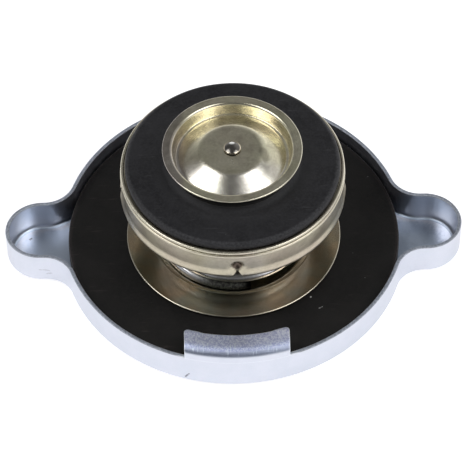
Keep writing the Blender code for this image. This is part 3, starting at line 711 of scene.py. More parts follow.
def passivate_finish(name, pale, olive, pink, rough, lines, smudged, dark_dents=False, dished=False):
    """Yellow passivate on steel: champagne with olive and pinkish patches, brighter at edges.

    One for the cup is dark brown inside its dents. A dished one has the painted light of the vacuum
    plate's groove and cone. Low inside the retainer's step each is painted dark, as painted shade.
    """
    made, tree, shader, place = new_finish(name)
    grain = use(tree, GRAIN, Vector=place, Blotch_Size=6.0, Grain_Size=0.55)
    parts = add_node(tree, "SeparateXYZ", Vector=place).outputs
    flat = axis_distance(tree, place)

    hue = ease(tree, noise(tree, place, 9.0, 3.0, 0.5), 0.35, 0.65)
    colour = mix_colour(tree, hue, olive, pink)
    colour = tint(tree, colour, spread(tree, grain["Blotch"], 0.35, 0.75), pale)
    colour = tint(tree, colour, grain["Fine"], (0.24, 0.21, 0.15), 0.22)
    smudge = ease(tree, noise(tree, place, 2.6, 4.0, 0.6), 0.42, 0.72)
    colour = tint(tree, colour, smudge, (0.20, 0.17, 0.12), smudged)
    wear = use(tree, WEAR, Vector=place, Amount=1.0, Break_Size=0.7)["Mask"]
    colour = tint(tree, colour, wear, (0.78, 0.74, 0.62), 0.6)
    dust = use(tree, SPECKS, Vector=place, Cell_Size=2.4, Share=0.14, Reach=0.07)["Mask"]
    colour = tint(tree, colour, dust, (0.85, 0.82, 0.75), 0.6)

    # The vacuum plate's painted light and shade.
    if dished:
        colour = dish_painted_light(tree, colour, parts, flat)

    # Painted shade: low inside the retainer's step, where the spring's coil shades it, the metal is
    # painted dark.
    seat_painted_shade = times(tree, fade(tree, flat, SEAT_STEP_R + 0.1, SEAT_STEP_R - 0.5),
                 fade(tree, parts["Z"], RETAINER_HIGH + 1.25, RETAINER_HIGH + 0.25))
    colour = tint(tree, colour, seat_painted_shade, (0.17, 0.165, 0.12), 0.9)
    colour = tint(tree, colour, marks_of(tree, place, PLATE_RUB), DIRT, 0.45)
    colour = tint(tree, colour, marks_of(tree, place, RETAINER_SPOTS), DIRT, 0.6)
    if dark_dents:
        # Dark brown inside the cup's dents, by their depth.
        dent = add_node(tree, "Attribute", {"attribute_name": "dent"}).outputs["Fac"]
        broken = calc(tree, "ADD", dent, spread(tree, noise(tree, place, 0.5, 3.0), -0.25, 0.25))
        colour = tint(tree, colour, ease(tree, broken, 0.1, 0.4), (0.075, 0.05, 0.045), 0.9)

    rings = use(tree, LINES, Vector=place, Pitch=0.22)["Lines"]
    colour = tint(tree, colour, ease(tree, rings, 0.5, 0.7), (0.30, 0.25, 0.19), lines * 0.6)
    roughness = calc(tree, "ADD", spread(tree, grain["Blotch"], rough, rough + 0.06),
                     times(tree, grain["Fine"], 0.02))
    height = calc(tree, "ADD", times(tree, rings, lines), times(tree, grain["Fine"], 0.06))
    fill_shader(tree, shader, colour, roughness, height, 0.006)
    return made


def rubber_finish(name, dark, grey, rough, dust_share, rubbed_from, rubbed_colour):
    """Matt black rubber: moulding grain, rub marks and lint.

    It is rubbed greyer from the radius rubbed_from outwards, and round the plate it is painted a
    little greyer, painted light that lifts the shade the plate casts.
    """
    made, tree, shader, place = new_finish(name)
    grain = use(tree, GRAIN, Vector=place, Blotch_Size=7.0, Grain_Size=0.45)
    flat = axis_distance(tree, place)
    colour = mix_colour(tree, times(tree, grain["Blotch"], 0.6), dark, grey)
    colour = tint(tree, colour, ease(tree, grain["Fine"], 0.3, 0.8), grey, 0.6)

    drawn = add_node(tree, "Mapping", Vector=place, Rotation=(0.0, 0.0, 0.6), Scale=(0.07, 1.0, 1.0))
    rubs = times(tree, ease(tree, noise(tree, drawn.outputs["Vector"], 0.35, 2.0), 0.62, 0.75),
                 ease(tree, noise(tree, place, 4.0), 0.45, 0.65))
    colour = tint(tree, colour, rubs, rubbed_colour, 0.5)
    wear = use(tree, WEAR, Vector=place, Amount=0.8, Break_Size=0.9)["Mask"]
    colour = tint(tree, colour, wear, (0.16, 0.16, 0.17), 0.45)
    rubbed = times(tree, fade(tree, flat, rubbed_from, rubbed_from + 0.5),
                   spread(tree, grain["Fine"], 0.1, 0.5))
    colour = tint(tree, colour, rubbed, rubbed_colour)
    # Painted light: round the vacuum plate the rubber is painted greyer, lifting the plate's shade on
    # it.
    plate_painted_light = fade(tree, flat, PLATE_R + 3.9, PLATE_R + 0.4)
    colour = tint(tree, colour, plate_painted_light, rubbed_colour, 0.22)

    lint = use(tree, SPECKS, Vector=place, Cell_Size=2.2, Share=dust_share, Reach=0.06)["Mask"]
    fluff = use(tree, SPECKS, Vector=place, Cell_Size=5.5, Share=dust_share, Reach=0.05)["Mask"]
    colour = tint(tree, colour, calc(tree, "MAXIMUM", lint, fluff), (0.55, 0.55, 0.56), 0.55)
    colour = tint(tree, colour, marks_of(tree, place, GASKET_LINT), (0.6, 0.6, 0.6), 0.85)

    rings = use(tree, LINES, Vector=place, Pitch=0.5)["Lines"]
    height = calc(tree, "ADD", times(tree, grain["Fine"], 0.8), times(tree, rings, 0.5))
    shader.inputs["Specular IOR Level"].default_value = 0.28
    fill_shader(tree, shader, colour, spread(tree, grain["Fine"], rough - 0.06, rough + 0.08),
                height, 0.02, metallic=0.0)
    return made


def wire_finish():
    """Hard drawn spring wire: bright, with fine lines along it, scale at its start, a painted
    highlight at the front right and painted shade straight in front.
    """
    made, tree, shader, place = new_finish("spring_wire")
    grain = use(tree, GRAIN, Vector=place, Blotch_Size=2.2, Grain_Size=0.25)
    along = add_node(tree, "UVMap", {"uv_map": "wire"}).outputs["UV"]
    travel = add_node(tree, "SeparateXYZ", Vector=along).outputs["X"]
    drawn = add_node(tree, "Mapping", Vector=along, Scale=(0.8, 26.0, 1.0)).outputs["Vector"]
    lines = add_node(tree, "TexNoise", Vector=drawn, Scale=1.0, Detail=3.0).outputs["Fac"]
    colour = mix_colour(tree, grain["Blotch"], (0.68, 0.68, 0.70), (0.80, 0.80, 0.83))
    colour = tint(tree, colour, ease(tree, lines, 0.5, 0.8), (0.80, 0.80, 0.82), 0.4)

    # Painted highlight: a patch of the coil at the front right is painted nearly white.
    from_glint = calc(tree, "ABSOLUTE", calc(tree, "SUBTRACT", travel, PAINTED_GLINT))
    colour = tint(tree, colour, ease(tree, from_glint, 3.0, 1.0), (0.97, 0.97, 1.0))
    # Painted shade: the coil straight in front is painted in the scale's dark colours, at a little
    # over half strength.
    from_front_shade = calc(tree, "ABSOLUTE", calc(tree, "SUBTRACT", travel, FRONT_SHADE))
    high = times(tree, ease(tree, from_front_shade, 3.4, 1.0), 0.55)
    # One mask for the real scale at the wire's start and the painted shade in front.
    scale = calc(tree, "MAXIMUM", ease(tree, travel, LOW_SCALE_END, LOW_SCALE_END - 4.0), high)
    flakes = ease(tree, noise(tree, place, 0.45, 3.0, 0.7), 0.38, 0.62)
    flaked = mix_colour(tree, flakes, (0.07, 0.07, 0.068), (0.22, 0.225, 0.20))
    colour = tint(tree, colour, scale, flaked)
    colour = tint(tree, colour, ease(tree, travel, TIP_END, TIP_END - 1.0), (0.001, 0.001, 0.001))

    rough = calc(tree, "ADD", spread(tree, grain["Fine"], 0.16, 0.30), times(tree, scale, 0.3))
    fill_shader(tree, shader, colour, rough, lines, 0.01)
    return made


def plain_metal_finish(name, colour, darker, rough, crown=None):
    """Bare or turned metal with tool rings.

    Above the height of its crown, in millimetres, it is dark round a painted highlight.
    """
    made, tree, shader, place = new_finish(name)
    grain = use(tree, GRAIN, Vector=place, Blotch_Size=1.6, Grain_Size=0.12)
    rings = use(tree, LINES, Vector=place, Pitch=0.15)["Lines"]
    base = mix_colour(tree, grain["Blotch"], darker, colour)
    wear = use(tree, WEAR, Vector=place, Amount=0.6, Break_Size=0.4)["Mask"]
    base = tint(tree, base, wear, (0.8, 0.76, 0.66), 0.5)
    if crown is not None:
        height = add_node(tree, "SeparateXYZ", Vector=place).outputs["Z"]
        highlight_place = (STEM_HIGHLIGHT[0] * MM, STEM_HIGHLIGHT[1] * MM, 0.0)
        aside = axis_distance(tree, vector_calc(tree, "SUBTRACT", place, highlight_place))
        # Painted highlight: a near-white spot on the head, within a dark ring.
        head_and_highlight = mix_colour(tree, fade(tree, aside, 0.3, 0.7), (0.98, 0.98, 0.96), (0.18, 0.17, 0.155))
        base = tint(tree, base, fade(tree, height, crown - 0.05, crown + 0.05), head_and_highlight)
    fill_shader(tree, shader, base, spread(tree, grain["Fine"], rough, rough + 0.12), rings, 0.01)
    return made


ZINC = zinc_finish()
CHAMPAGNE = passivate_finish(
    "champagne_passivate", pale=(0.66, 0.62, 0.50), olive=(0.56, 0.53, 0.37), pink=(0.60, 0.51, 0.42),
    rough=0.24, lines=0.3, smudged=0.2)
CUP_METAL = passivate_finish(
    "cup_passivate", pale=(0.66, 0.61, 0.49), olive=(0.57, 0.52, 0.37), pink=(0.58, 0.49, 0.40),
    rough=0.30, lines=1.0, smudged=0.2, dark_dents=True)
OLIVE = passivate_finish(
    "olive_passivate", pale=(0.74, 0.72, 0.57), olive=(0.65, 0.63, 0.42), pink=(0.69, 0.62, 0.49),
    rough=0.20, lines=0.3, smudged=0.3, dished=True)
BRONZED = passivate_finish(
    "bronzed_passivate", pale=(0.42, 0.42, 0.34), olive=(0.37, 0.38, 0.29), pink=(0.60, 0.40, 0.23),
    rough=0.19, lines=0.3, smudged=0.15)
# Painted shade: the guide, deep under the spring and the cup, gets darkened copies of the passivate
# colours.
SHADED_GUIDE = passivate_finish(
    "shaded_guide_passivate", pale=(0.20, 0.19, 0.13), olive=(0.13, 0.125, 0.08), pink=(0.16, 0.13, 0.10),
    rough=0.34, lines=0.4, smudged=0.4)
GASKET_RUBBER = rubber_finish(
    "gasket_rubber", dark=(0.0022, 0.0020, 0.0019), grey=(0.0110, 0.0100, 0.0095), rough=0.66,
    dust_share=0.18, rubbed_from=GASKET_R - 0.95, rubbed_colour=(0.040, 0.031, 0.031))
SEAL_RUBBER = rubber_finish(
    "seal_rubber", dark=(0.0035, 0.0035, 0.005), grey=(0.021, 0.021, 0.024), rough=0.56,
    dust_share=0.24, rubbed_from=SEAL_R - 1.05, rubbed_colour=(0.066, 0.066, 0.071))
WIRE = wire_finish()
PIN = plain_metal_finish("pin_brass", (0.80, 0.72, 0.58), (0.44, 0.37, 0.28), 0.14, STEM_CROWN)
BARE_STEEL = plain_metal_finish("bare_steel", (0.52, 0.52, 0.53), (0.34, 0.34, 0.36), 0.28)


# Shell
def tab_columns():
    """x across half a tab, from its side in to its middle, close together round its corner."""
    corner = TAB_HALF - TAB_CORNER_R * (1 - np.cos(np.radians(np.linspace(0, 90, 11))))
    return np.concatenate([corner[:-1], np.linspace(TAB_HALF - TAB_CORNER_R, 0, 26)])


def quarter_outline(inset):
    """Plan of a quarter of the shell moved in by inset, from an ear's tip to a tab's middle.

    An ear's round end, the fillet into the wall and the wall are arcs, centre + radius times
    (cos a, sin a), whose radius alone changes with the inset. On the tab the columns keep
    their x, and y = sqrt(radius² - x²).
    """
    def arc(centre, radius, start, end, steps):
        angle = np.radians(np.linspace(start, end, steps + 1))
        return np.array(centre) + radius * np.stack([np.cos(angle), np.sin(angle)], axis=-1)

    fillet_y = EAR_R + EAR_FILLET_R
    fillet_x = math.sqrt((SHELL_R + EAR_FILLET_R) ** 2 - fillet_y ** 2)
    meet = math.degrees(math.atan2(fillet_y, fillet_x))
    radius = SHELL_R - inset
    side = math.degrees(math.acos(TAB_HALF / radius))
    tab_x = tab_columns()
    return np.concatenate([
        arc((EAR_X, 0.0), EAR_R - inset, 0, 90, 26),
        arc((fillet_x, fillet_y), EAR_FILLET_R + inset, 270, 180 + meet, 18),
        arc((0.0, 0.0), radius, meet, side, 44)[1:-1],
        np.stack([tab_x, np.sqrt(radius ** 2 - tab_x ** 2)], axis=-1)])


def full_outline(inset):
    """The quarter mirrored into all four, anticlockwise from the ear's tip on +X."""
    quarter = quarter_outline(inset)
    half = np.concatenate([quarter, quarter[-2::-1] * (-1, 1)])
    return np.concatenate([half, half[-2:0:-1] * (1, -1)])


def tab_inner_edge(x):
    """Distance from the axis of a tab's inner edge at x: an arc with a nub near each end.

    The nub is a smooth step inwards, and the corner a quarter circle.
    """
    across = np.abs(x)
    ramp = np.clip((across - (TAB_HALF - TAB_NUB_WIDTH)) / TAB_NUB_RAMP, 0, 1)
    edge = np.sqrt((SHELL_R - TAB_REACH) ** 2 - x ** 2) - TAB_NUB * ramp * ramp * (3 - 2 * ramp)
    past = np.clip(across - (TAB_HALF - TAB_CORNER_R), 0, TAB_CORNER_R)
    return edge + TAB_CORNER_R - np.sqrt(TAB_CORNER_R ** 2 - past ** 2)


def tab_rows(x, low):
    """One face of the sheet over a tab as rows of (y, z) at x, and its pair on the other face.

    It climbs the wall from low, follows a quarter ellipse, TAB_BEND_R high and TAB_BEND_REACH
    long (less the sheet on the inside), and runs in to the edge, where both faces round off.
    Near the tab's sides the two faces close in on each other by the same rounding.
    """
    closing = np.clip(np.abs(x) - (TAB_HALF - TAB_EDGE_ROUND), 0, TAB_EDGE_ROUND)
    closing = TAB_EDGE_ROUND - np.sqrt(TAB_EDGE_ROUND ** 2 - closing ** 2)
    angle = np.radians(np.linspace(180, 90, 13))[:, None]
    edge = tab_inner_edge(x)
    centre_z = TAB_TOP - TAB_BEND_R
    faces = []
    for radius, sign in ((TAB_BEND_R, 1), (TAB_BEND_R - SHEET, -1)):
        bend_r = radius - sign * closing
        wall_inset = TAB_BEND_R - bend_r
        inset = wall_inset + (TAB_BEND_REACH - wall_inset) * (1 + np.cos(angle))
        climb = np.linspace(0, 1, 4)[1:-1, None]
        rise_y = np.sqrt((SHELL_R - wall_inset) ** 2 - x ** 2) + 0 * climb
        rise_z = low + (centre_z - low) * climb + 0 * x
        bend_y = np.sqrt((SHELL_R - inset) ** 2 - x ** 2)
        bend_z = centre_z + bend_r * np.sin(angle)
        face_z = centre_z + bend_r
        run = np.array([0.04, 0.25, 0.5, 0.75, 0.96])[:, None]
        flat_y = bend_y[-1] + (edge + RIM_ROUND - bend_y[-1]) * run
        tip = np.radians(np.linspace(0, 90, 6))[:, None]
        tip_y = edge + RIM_ROUND - RIM_ROUND * np.sin(tip)
        tip_z = face_z - sign * RIM_ROUND * (1 - np.cos(tip))
        faces.append((np.concatenate([rise_y, bend_y, flat_y, tip_y]),
                      np.concatenate([rise_z, bend_z, face_z + 0 * flat_y, tip_z])))
    return faces


def shell_section():
    """Section (inset, z) of the wall: up its outside, over the cut rim and down its inside."""
    path = fillets([
        (6.0, 0.0, 0), (0.0, 0.0, OUTER_BEND_R), (0.0, RIM_Z, RIM_ROUND),
        (SHEET, RIM_Z, RIM_ROUND), (SHEET, SHEET, INNER_BEND_R), (6.0, SHEET, 0)], closed=False)
    return path[1:-1]


def shell_grid(section):
    """The skin without its tabs as a grid of points, and the row at which its wall starts.

    The rows are circles on the dimple's under side, outlines moved in by the wall's section,
    and circles on the dimple's upper side. Those between a circle and an outline are even
    mixes of the two.
    """
    under_dimple = fillets([
        (RIVET_HOLE_R, DIMPLE_H, 0), (DIMPLE_R, DIMPLE_H, 0.5), (DIMPLE_LIP_R, 0.0, 0.8),
        (DIMPLE_LIP_R + 2.0, 0.0, 0)], closed=False)
    over_dimple = fillets([
        (DIMPLE_LIP_R + 2.0, SHEET, 0), (DIMPLE_LIP_R + SHEET / 2, SHEET, 0.5),
        (DIMPLE_R + SHEET / 2, DIMPLE_H + SHEET, 0.8), (RIVET_HOLE_R, DIMPLE_H + SHEET, 0)],
        closed=False)
    rim = full_outline(0.0)
    bearing = np.arctan2(rim[:, 1], rim[:, 0])

    def circle(r, z):
        return np.stack([r * np.cos(bearing), r * np.sin(bearing), z + 0 * bearing], axis=-1)

    def outline(inset, z):
        return np.concatenate([full_outline(inset), np.full((len(rim), 1), z)], axis=1)

    def between(start, end):
        share = np.linspace(0, 1, MIXED_ROWS + 2)[1:-1, None, None]
        return list(start * (1 - share) + end * share)

    under = [circle(r, z) for r, z in under_dimple]
    wall = [outline(inset, z) for inset, z in section]
    over = [circle(r, z) for r, z in over_dimple]
    rows = under + between(under[-1], wall[0]) + wall + between(wall[-1], over[0]) + over
    return np.stack(rows), len(under) + MIXED_ROWS


def tab_strip(x, low, side):
    """A tab as one strip of points, up its outer face and back down its inner face.

    The second value marks the points on its cut edges, where the plating wears first.
    """
    outer, inner = tab_rows(x, low)
    y = np.concatenate([outer[0], inner[0][::-1]]) * side
    z = np.concatenate([outer[1], inner[1][::-1]])
    strip = np.stack([x + 0 * y, y, z], axis=-1)
    cut_edge = np.zeros(strip.shape[:2])
    half = strip.shape[0] // 2
    cut_edge[half - 5:half + 5] = 1.0
    cut_edge[:, :4] = 1.0
    cut_edge[:, -4:] = 1.0
    return strip, cut_edge


def side_caps(chain, rounding, outward):
    """Faces that close a tab's side: chain runs up and back down the side's two edges.

    The first face also takes in the wall's cut rim below it, whose points are rounding.
    """
    deep = len(chain)
    caps = [list(rounding) + [chain[deep - 2], chain[1]]]
    for k in range(1, deep // 2 - 1):
        caps.append([chain[k], chain[deep - 1 - k], chain[deep - 2 - k], chain[k + 1]])
    return caps if outward else [cap[::-1] for cap in caps]


def build_shell():
    """One skin round the whole sheet, with a folded strip standing on its rim at each tab.

    Each tab takes the place of the rim's faces between two rows of the wall: low_row outside
    and high_row inside.
    """
    section = shell_section()
    grid, first_wall = shell_grid(section)
    edge = np.zeros(grid.shape[:2])
    edge[first_wall:first_wall + len(section)] = edge_of(section * (-1, 1))[:, None]

    outside = np.flatnonzero((section[:, 0] < 1e-6) & (section[:, 1] < RIM_Z))[-1]
    inside = np.flatnonzero(np.abs(section[:, 0] - SHEET) < 1e-6)
    low_row = first_wall + outside
    high_row = first_wall + inside[inside > outside][0]

    index = np.arange(edge.size).reshape(edge.shape)
    faces = quads(index, True).reshape(*edge.shape, 4)
    keep = np.ones(edge.shape, bool)
    points = [grid.reshape(-1, 3)]
    edges = [edge.ravel()]
    tab_faces = []
    total = edge.size
    rim = full_outline(0.0)
    for side in (1, -1):
        columns = np.flatnonzero((np.abs(rim[:, 0]) < TAB_HALF + 1e-6) & (rim[:, 1] * side > 0))
        keep[low_row:high_row, columns[:-1]] = False
        strip, cut_edge = tab_strip(rim[columns, 0], grid[low_row, 0, 2], side)
        middle = total + np.arange(cut_edge.size).reshape(cut_edge.shape)
        total += cut_edge.size
        points.append(strip.reshape(-1, 3))
        edges.append(cut_edge.ravel())
        table = np.concatenate([
            index[low_row, columns][None], middle, index[high_row, columns][None]])
        tab_faces += quads(table, False, close_columns=False).tolist()
        for column, outward in ((0, False), (-1, True)):
            rounding = index[low_row:high_row + 1, columns[column]]
            tab_faces += side_caps(table[:, column], rounding, outward)
    return add_piece("dressed_shell", np.concatenate(points), faces[keep].tolist() + tab_faces,
                     ZINC, "cap_shell", ["shell"], np.concatenate(edges))


# Crimped cup
def build_cup():
    """The cup's section turned round Z, pressed in at each crimp and slotted under it.

    A crimp takes depth · (1 - d²)² off the radius, where d is the distance from its centre in
    half widths and half heights. Beside the slot's throat two cheeks stand out as bell curves,
    and near the bottom the wall flares by flare · cos²(pi/2 · distance from its middle / half).
    """
    inside = CUP_R - CUP_T
    bead = CUP_HIGH - CUP_LOW - CUP_BEAD_H
    height = CUP_HIGH - CUP_LOW + CUP_RAISE
    path = fillets([
        (CUP_HOLE_R, 0.0, 0.12), (CUP_R, 0.0, 1.2), (CUP_R, bead, 0.1),
        (CUP_R + CUP_BEAD, bead + 0.12, 0.1), (CUP_R + CUP_BEAD, height, 0.4),
        (inside, height, 0.15), (inside, CUP_T, 0.9), (CUP_HOLE_R, CUP_T, 0.12)])
    ahead = np.roll(path, -1, axis=0)
    path = np.concatenate([even_steps(a, b, CUP_STEP) for a, b in zip(path, ahead)])
    step = 2 * math.pi / CRIMPS
    near = CRIMP_WIDTH / CUP_R
    part = np.concatenate([np.linspace(-near, near, 41), np.linspace(near, step - near, 44)[1:-1]])
    angle = (CRIMP_ANGLE + step * np.arange(CRIMPS)[:, None] + part).ravel()
    across = np.remainder(angle - CRIMP_ANGLE + step / 2, step) - step / 2
    r, z = path[:, :1] + 0 * angle, path[:, 1:] + 0 * angle
    away = np.hypot(across * CUP_R / (CRIMP_WIDTH / 2),
                    (z - (CRIMP_Z - CUP_LOW)) / (CRIMP_HEIGHT / 2))
    dent = (1 - np.minimum(away, 1) ** 2) ** 2
    aside = (np.abs(across) * CUP_R - CHEEK_X) / CHEEK_WIDTH
    cheeks = CHEEK_BULGE * np.exp(-aside ** 2 - ((z - CHEEK_Z) / CHEEK_HEIGHT) ** 2)
    flare = CUP_FLARE * np.cos(np.clip((z - FLARE_Z) / FLARE_HALF, -1, 1) * math.pi / 2) ** 2
    r = r - np.where(r > inside - 0.3, dent * CRIMP_DEPTH - cheeks - flare, 0)
    points = np.stack([r * np.cos(angle), r * np.sin(angle), z + CUP_LOW], axis=-1)
    edge = edge_of(path)[:, None] + 0 * angle
    faces = quads(np.arange(points.shape[0] * points.shape[1]).reshape(points.shape[:2]), True)
    made = add_piece("dressed_cup", points, faces.tolist(), CUP_METAL, "pressure_valve",
                     ["retaining_cup"], edge)
    dent_depth = made.data.attributes.new("dent", "FLOAT", "POINT")
    dent_depth.data.foreach_set("value", np.ascontiguousarray(dent, np.float32).ravel())
    cut_away(made, bars(crimp_slots()))
    return made


def even_steps(start, end, longest):
    """Points from start up to but not including end, no further apart than longest."""
    count = max(1, math.ceil(np.linalg.norm(end - start) / longest))
    return start + (end - start) * np.arange(count)[:, None] / count


def crimp_slots():
    """A slot under each crimp: wide at the cup's bottom edge, a narrow throat above."""
    half = np.array(SLOT_HALF)
    mirrored = half * (-1, 1)
    outline = np.concatenate([mirrored[:1], half, mirrored[:0:-1]])
    slots = []
    for k in range(CRIMPS):
        angle = CRIMP_ANGLE + 2 * math.pi * k / CRIMPS
        out = np.array((math.cos(angle), math.sin(angle), 0.0))
        along = np.array((-math.sin(angle), math.cos(angle), 0.0))
        flat = outline[:, :1] * along + outline[:, 1:] * np.array((0, 0, 1.0)) + (0, 0, CUP_LOW)
        slots.append((flat + out * (CUP_R - 3 * CUP_T), flat + out * (CUP_R + CUP_T)))
    return slots


def carrier_vents():
    """Round vents in the carrier, under the seal's bore."""
    turn = 2 * math.pi * np.arange(24) / 24
    vents = []
    for k in range(VENTS):
        angle = 2 * math.pi * (k + 0.5) / VENTS
        x = VENT_RING_R * math.cos(angle) + VENT_R * np.cos(turn)
        y = VENT_RING_R * math.sin(angle) + VENT_R * np.sin(turn)
        low = np.stack([x, y, 0 * x + CARRIER_LOW - CARRIER_T], axis=-1)
        vents.append((low, low + (0, 0, 3 * CARRIER_T)))
    return vents


# Springs
def build_coil(name, radius, wire, low, high, closed_rise, active_turns, start, per_turn, sides,
               body, node, ground=0.0):
    """A left-hand compression spring: a circle of the wire carried down a helix.

    After t turns the centre is at the angle start - 2 pi t. It climbs closed_rise in each
    closed end turn and the rest over the active turns, with the slope eased between them.
    Its ends are ground: they start that much deeper, and z is cut off at low and high.
    """
    turns = active_turns + 2.0
    room = high - low - wire + 2 * ground
    count = round(turns * per_turn)
    t = np.linspace(0, turns, count + 1)
    active_rise = (room - 2 * closed_rise) / active_turns
    ease_in = np.clip((t - CLOSED_TURN) / SLOPE_CHANGE, 0, 1)
    ease_out = np.clip((turns - CLOSED_TURN - t) / SLOPE_CHANGE, 0, 1)
    share = ease_in ** 2 * (3 - 2 * ease_in) * ease_out ** 2 * (3 - 2 * ease_out)
    slope = closed_rise + (active_rise - closed_rise) * share
    climb = np.concatenate([[0], np.cumsum((slope[1:] + slope[:-1]) / 2 * np.diff(t))])
    climb *= room / climb[-1]
    angle = start - 2 * math.pi * t
    middle = low + wire / 2 - ground + climb
    centre = np.stack([radius * np.cos(angle), radius * np.sin(angle), middle], axis=-1)
    along = np.gradient(centre, axis=0)
    along /= np.linalg.norm(along, axis=1, keepdims=True)
    out = np.stack([np.cos(angle), np.sin(angle), 0 * angle], axis=-1)
    up = np.cross(out, along)
    travel = np.linspace(0, 1, count + 1) * turns * 2 * math.pi * radius
    chamfer = END_CHAMFER * wire
    from_end = np.minimum(travel, travel[-1] - travel)
    size = wire / 2 - np.clip(chamfer - from_end, 0, chamfer)
    turn = 2 * math.pi * (np.arange(sides) + 0.5) / sides
    points = (centre[:, None] + size[:, None, None] * (
        out[:, None] * np.cos(turn)[:, None] + up[:, None] * np.sin(turn)[:, None]))
    points[..., 2] = np.clip(points[..., 2], low, high)
    index = np.arange(points.shape[0] * sides).reshape(points.shape[:2])
    faces = quads(index, False)[:, ::-1].tolist()
    faces += [index[0].tolist(), index[-1][::-1].tolist()]
    made = add_piece(name, points, faces, WIRE, body, [node], sharp=60.0)
    row = np.arange(points.shape[0] - 1).repeat(sides)
    column = np.tile(np.arange(sides), points.shape[0] - 1)
    length = travel / wire
    u = np.stack([length[row + 1], length[row + 1], length[row], length[row]], axis=-1)
    v = np.stack([column, column + 1, column + 1, column], axis=-1) / sides
    uv = np.concatenate([np.stack([u, v], axis=-1).reshape(-1, 2), np.zeros((2 * sides, 2))])
    layer = made.data.uv_layers.new(name="wire")
    layer.data.foreach_set("uv", np.ascontiguousarray(uv, np.float32).ravel())
    return made


# Sections of the turned pieces
def plain_corners(r, z):
    """Corners without a fillet from arrays of r and z."""
    return [(float(a), float(b), 0) for a, b in zip(r, z)]


def seal_shoulder():
    """The seal's rounded top edge: a quarter circle from its side to its top."""
    angle = np.radians(np.linspace(0, 90, 9))[1:]
    r = SEAL_R - SEAL_EDGE_R + SEAL_EDGE_R * np.cos(angle)
    z = SEAL_TOP - SEAL_EDGE_R + SEAL_EDGE_R * np.sin(angle)
    return plain_corners(r, z)


def stem_dome():
    """The top of the stem's head: z = top - R + sqrt(R² - r²), with R the dome's radius."""
    r = np.array((1.7, 1.4, 1.1, 0.8, 0.5, 0.25, 0.0))
    return plain_corners(r, STEM_HIGH - STEM_DOME_R + np.sqrt(STEM_DOME_R ** 2 - r ** 2))


def plate_section():
    """The dished plate, one sheet: its lower face from the hole out, and its upper face back."""
    hole = STEM_NECK_R + STEM_CLEARANCE
    top = PLATE_HIGH
    low = top - PLATE_T
    lower = [
        (hole, low - PLATE_TOP_DROP, 0), (PLATE_TOP_R - 0.2, low - PLATE_TOP_DROP, 2.3),
        (GROOVE_INNER_R - 0.2, low - GROOVE_DEPTH, 0.4),
        (GROOVE_OUTER_R + 0.2, low - GROOVE_DEPTH, 0.5), (PLATE_LIP_R + 0.2, low, 0.3),
        (PLATE_R, low, 0.2)]
    upper = [
        (PLATE_R, top, 0.2), (PLATE_LIP_R, top, 0.7),
        (GROOVE_OUTER_R, top - GROOVE_DEPTH + 0.05, 0.25), (GROOVE_INNER_R, top - GROOVE_DEPTH, 0.3),
        (PLATE_TOP_R, top - PLATE_TOP_DROP, 2.8), (hole, top - PLATE_TOP_DROP, 0)]
    return lower + upper


def wave_of(top):
    """One face of the diaphragm's wave, at height top beside it, from its inner edge out."""
    return [(WAVE_R - WAVE_HALF, top, 0), (WAVE_R, top - WAVE_DEPTH, WAVE_BEND_R),
            (WAVE_R + WAVE_HALF, top, 0)]


# Pieces
build_shell()

turned("dressed_rivet", [
    (0.0, RIVET_LOW, 0), (3.6, RIVET_LOW + 0.1, 2.5), (RIVET_HEAD_R, RIVET_LOW + 0.68, 0.2),
    (RIVET_HEAD_R - 0.1, DIMPLE_H - 0.3, 0.1), (RIVET_R, DIMPLE_H - 0.3, 0),
    (RIVET_R, RIVET_HIGH - RIVET_CLENCH_H, 0), (RIVET_CLENCH_R, RIVET_HIGH - RIVET_CLENCH_H, 0.2),
    (RIVET_CLENCH_R - 1.0, RIVET_HIGH - 0.2, 0.9), (0.0, RIVET_HIGH, 0)],
    BARE_STEEL, "cap_shell", ["centre_rivet"], closed=False, steps=96)

turned("dressed_diaphragm", [
    (RIVET_HOLE_R, DIAPHRAGM_HIGH - DIAPHRAGM_T, 0), *wave_of(DIAPHRAGM_HIGH - DIAPHRAGM_T),
    (DIAPHRAGM_R, DIAPHRAGM_HIGH - DIAPHRAGM_T, 0.08), (DIAPHRAGM_R, DIAPHRAGM_HIGH, 0.08),
    *wave_of(DIAPHRAGM_HIGH)[::-1], (RIVET_HOLE_R, DIAPHRAGM_HIGH, 0)],
    BARE_STEEL, "gasket_stack", ["diaphragm_spring"])

turned("dressed_gasket", [
    (RIVET_HOLE_R, GASKET_LOW, 0), (GASKET_R, GASKET_LOW, 0.1), (GASKET_R, GASKET_HIGH, 0.25),
    (RIVET_HOLE_R, GASKET_HIGH, 0)],
    GASKET_RUBBER, "gasket_stack", ["upper_gasket"])

turned("dressed_retainer", [
    (RIVET_HOLE_R, RETAINER_LOW + SEAT_STEP_H, 0), (SEAT_STEP_R, RETAINER_LOW + SEAT_STEP_H, 0.3),
    (SEAT_STEP_R + 0.5, RETAINER_LOW, 0.3), (RETAINER_R, RETAINER_LOW, 0.15),
    (RETAINER_R, RETAINER_HIGH - SEAT_STEP_H, 0.22),
    (SEAT_STEP_R + 0.6, RETAINER_HIGH - SEAT_STEP_H, 0.9), (SEAT_STEP_R, RETAINER_HIGH, 0.3),
    (RIVET_HOLE_R, RETAINER_HIGH, 0)],
    BRONZED, "gasket_stack", ["gasket_retainer"])

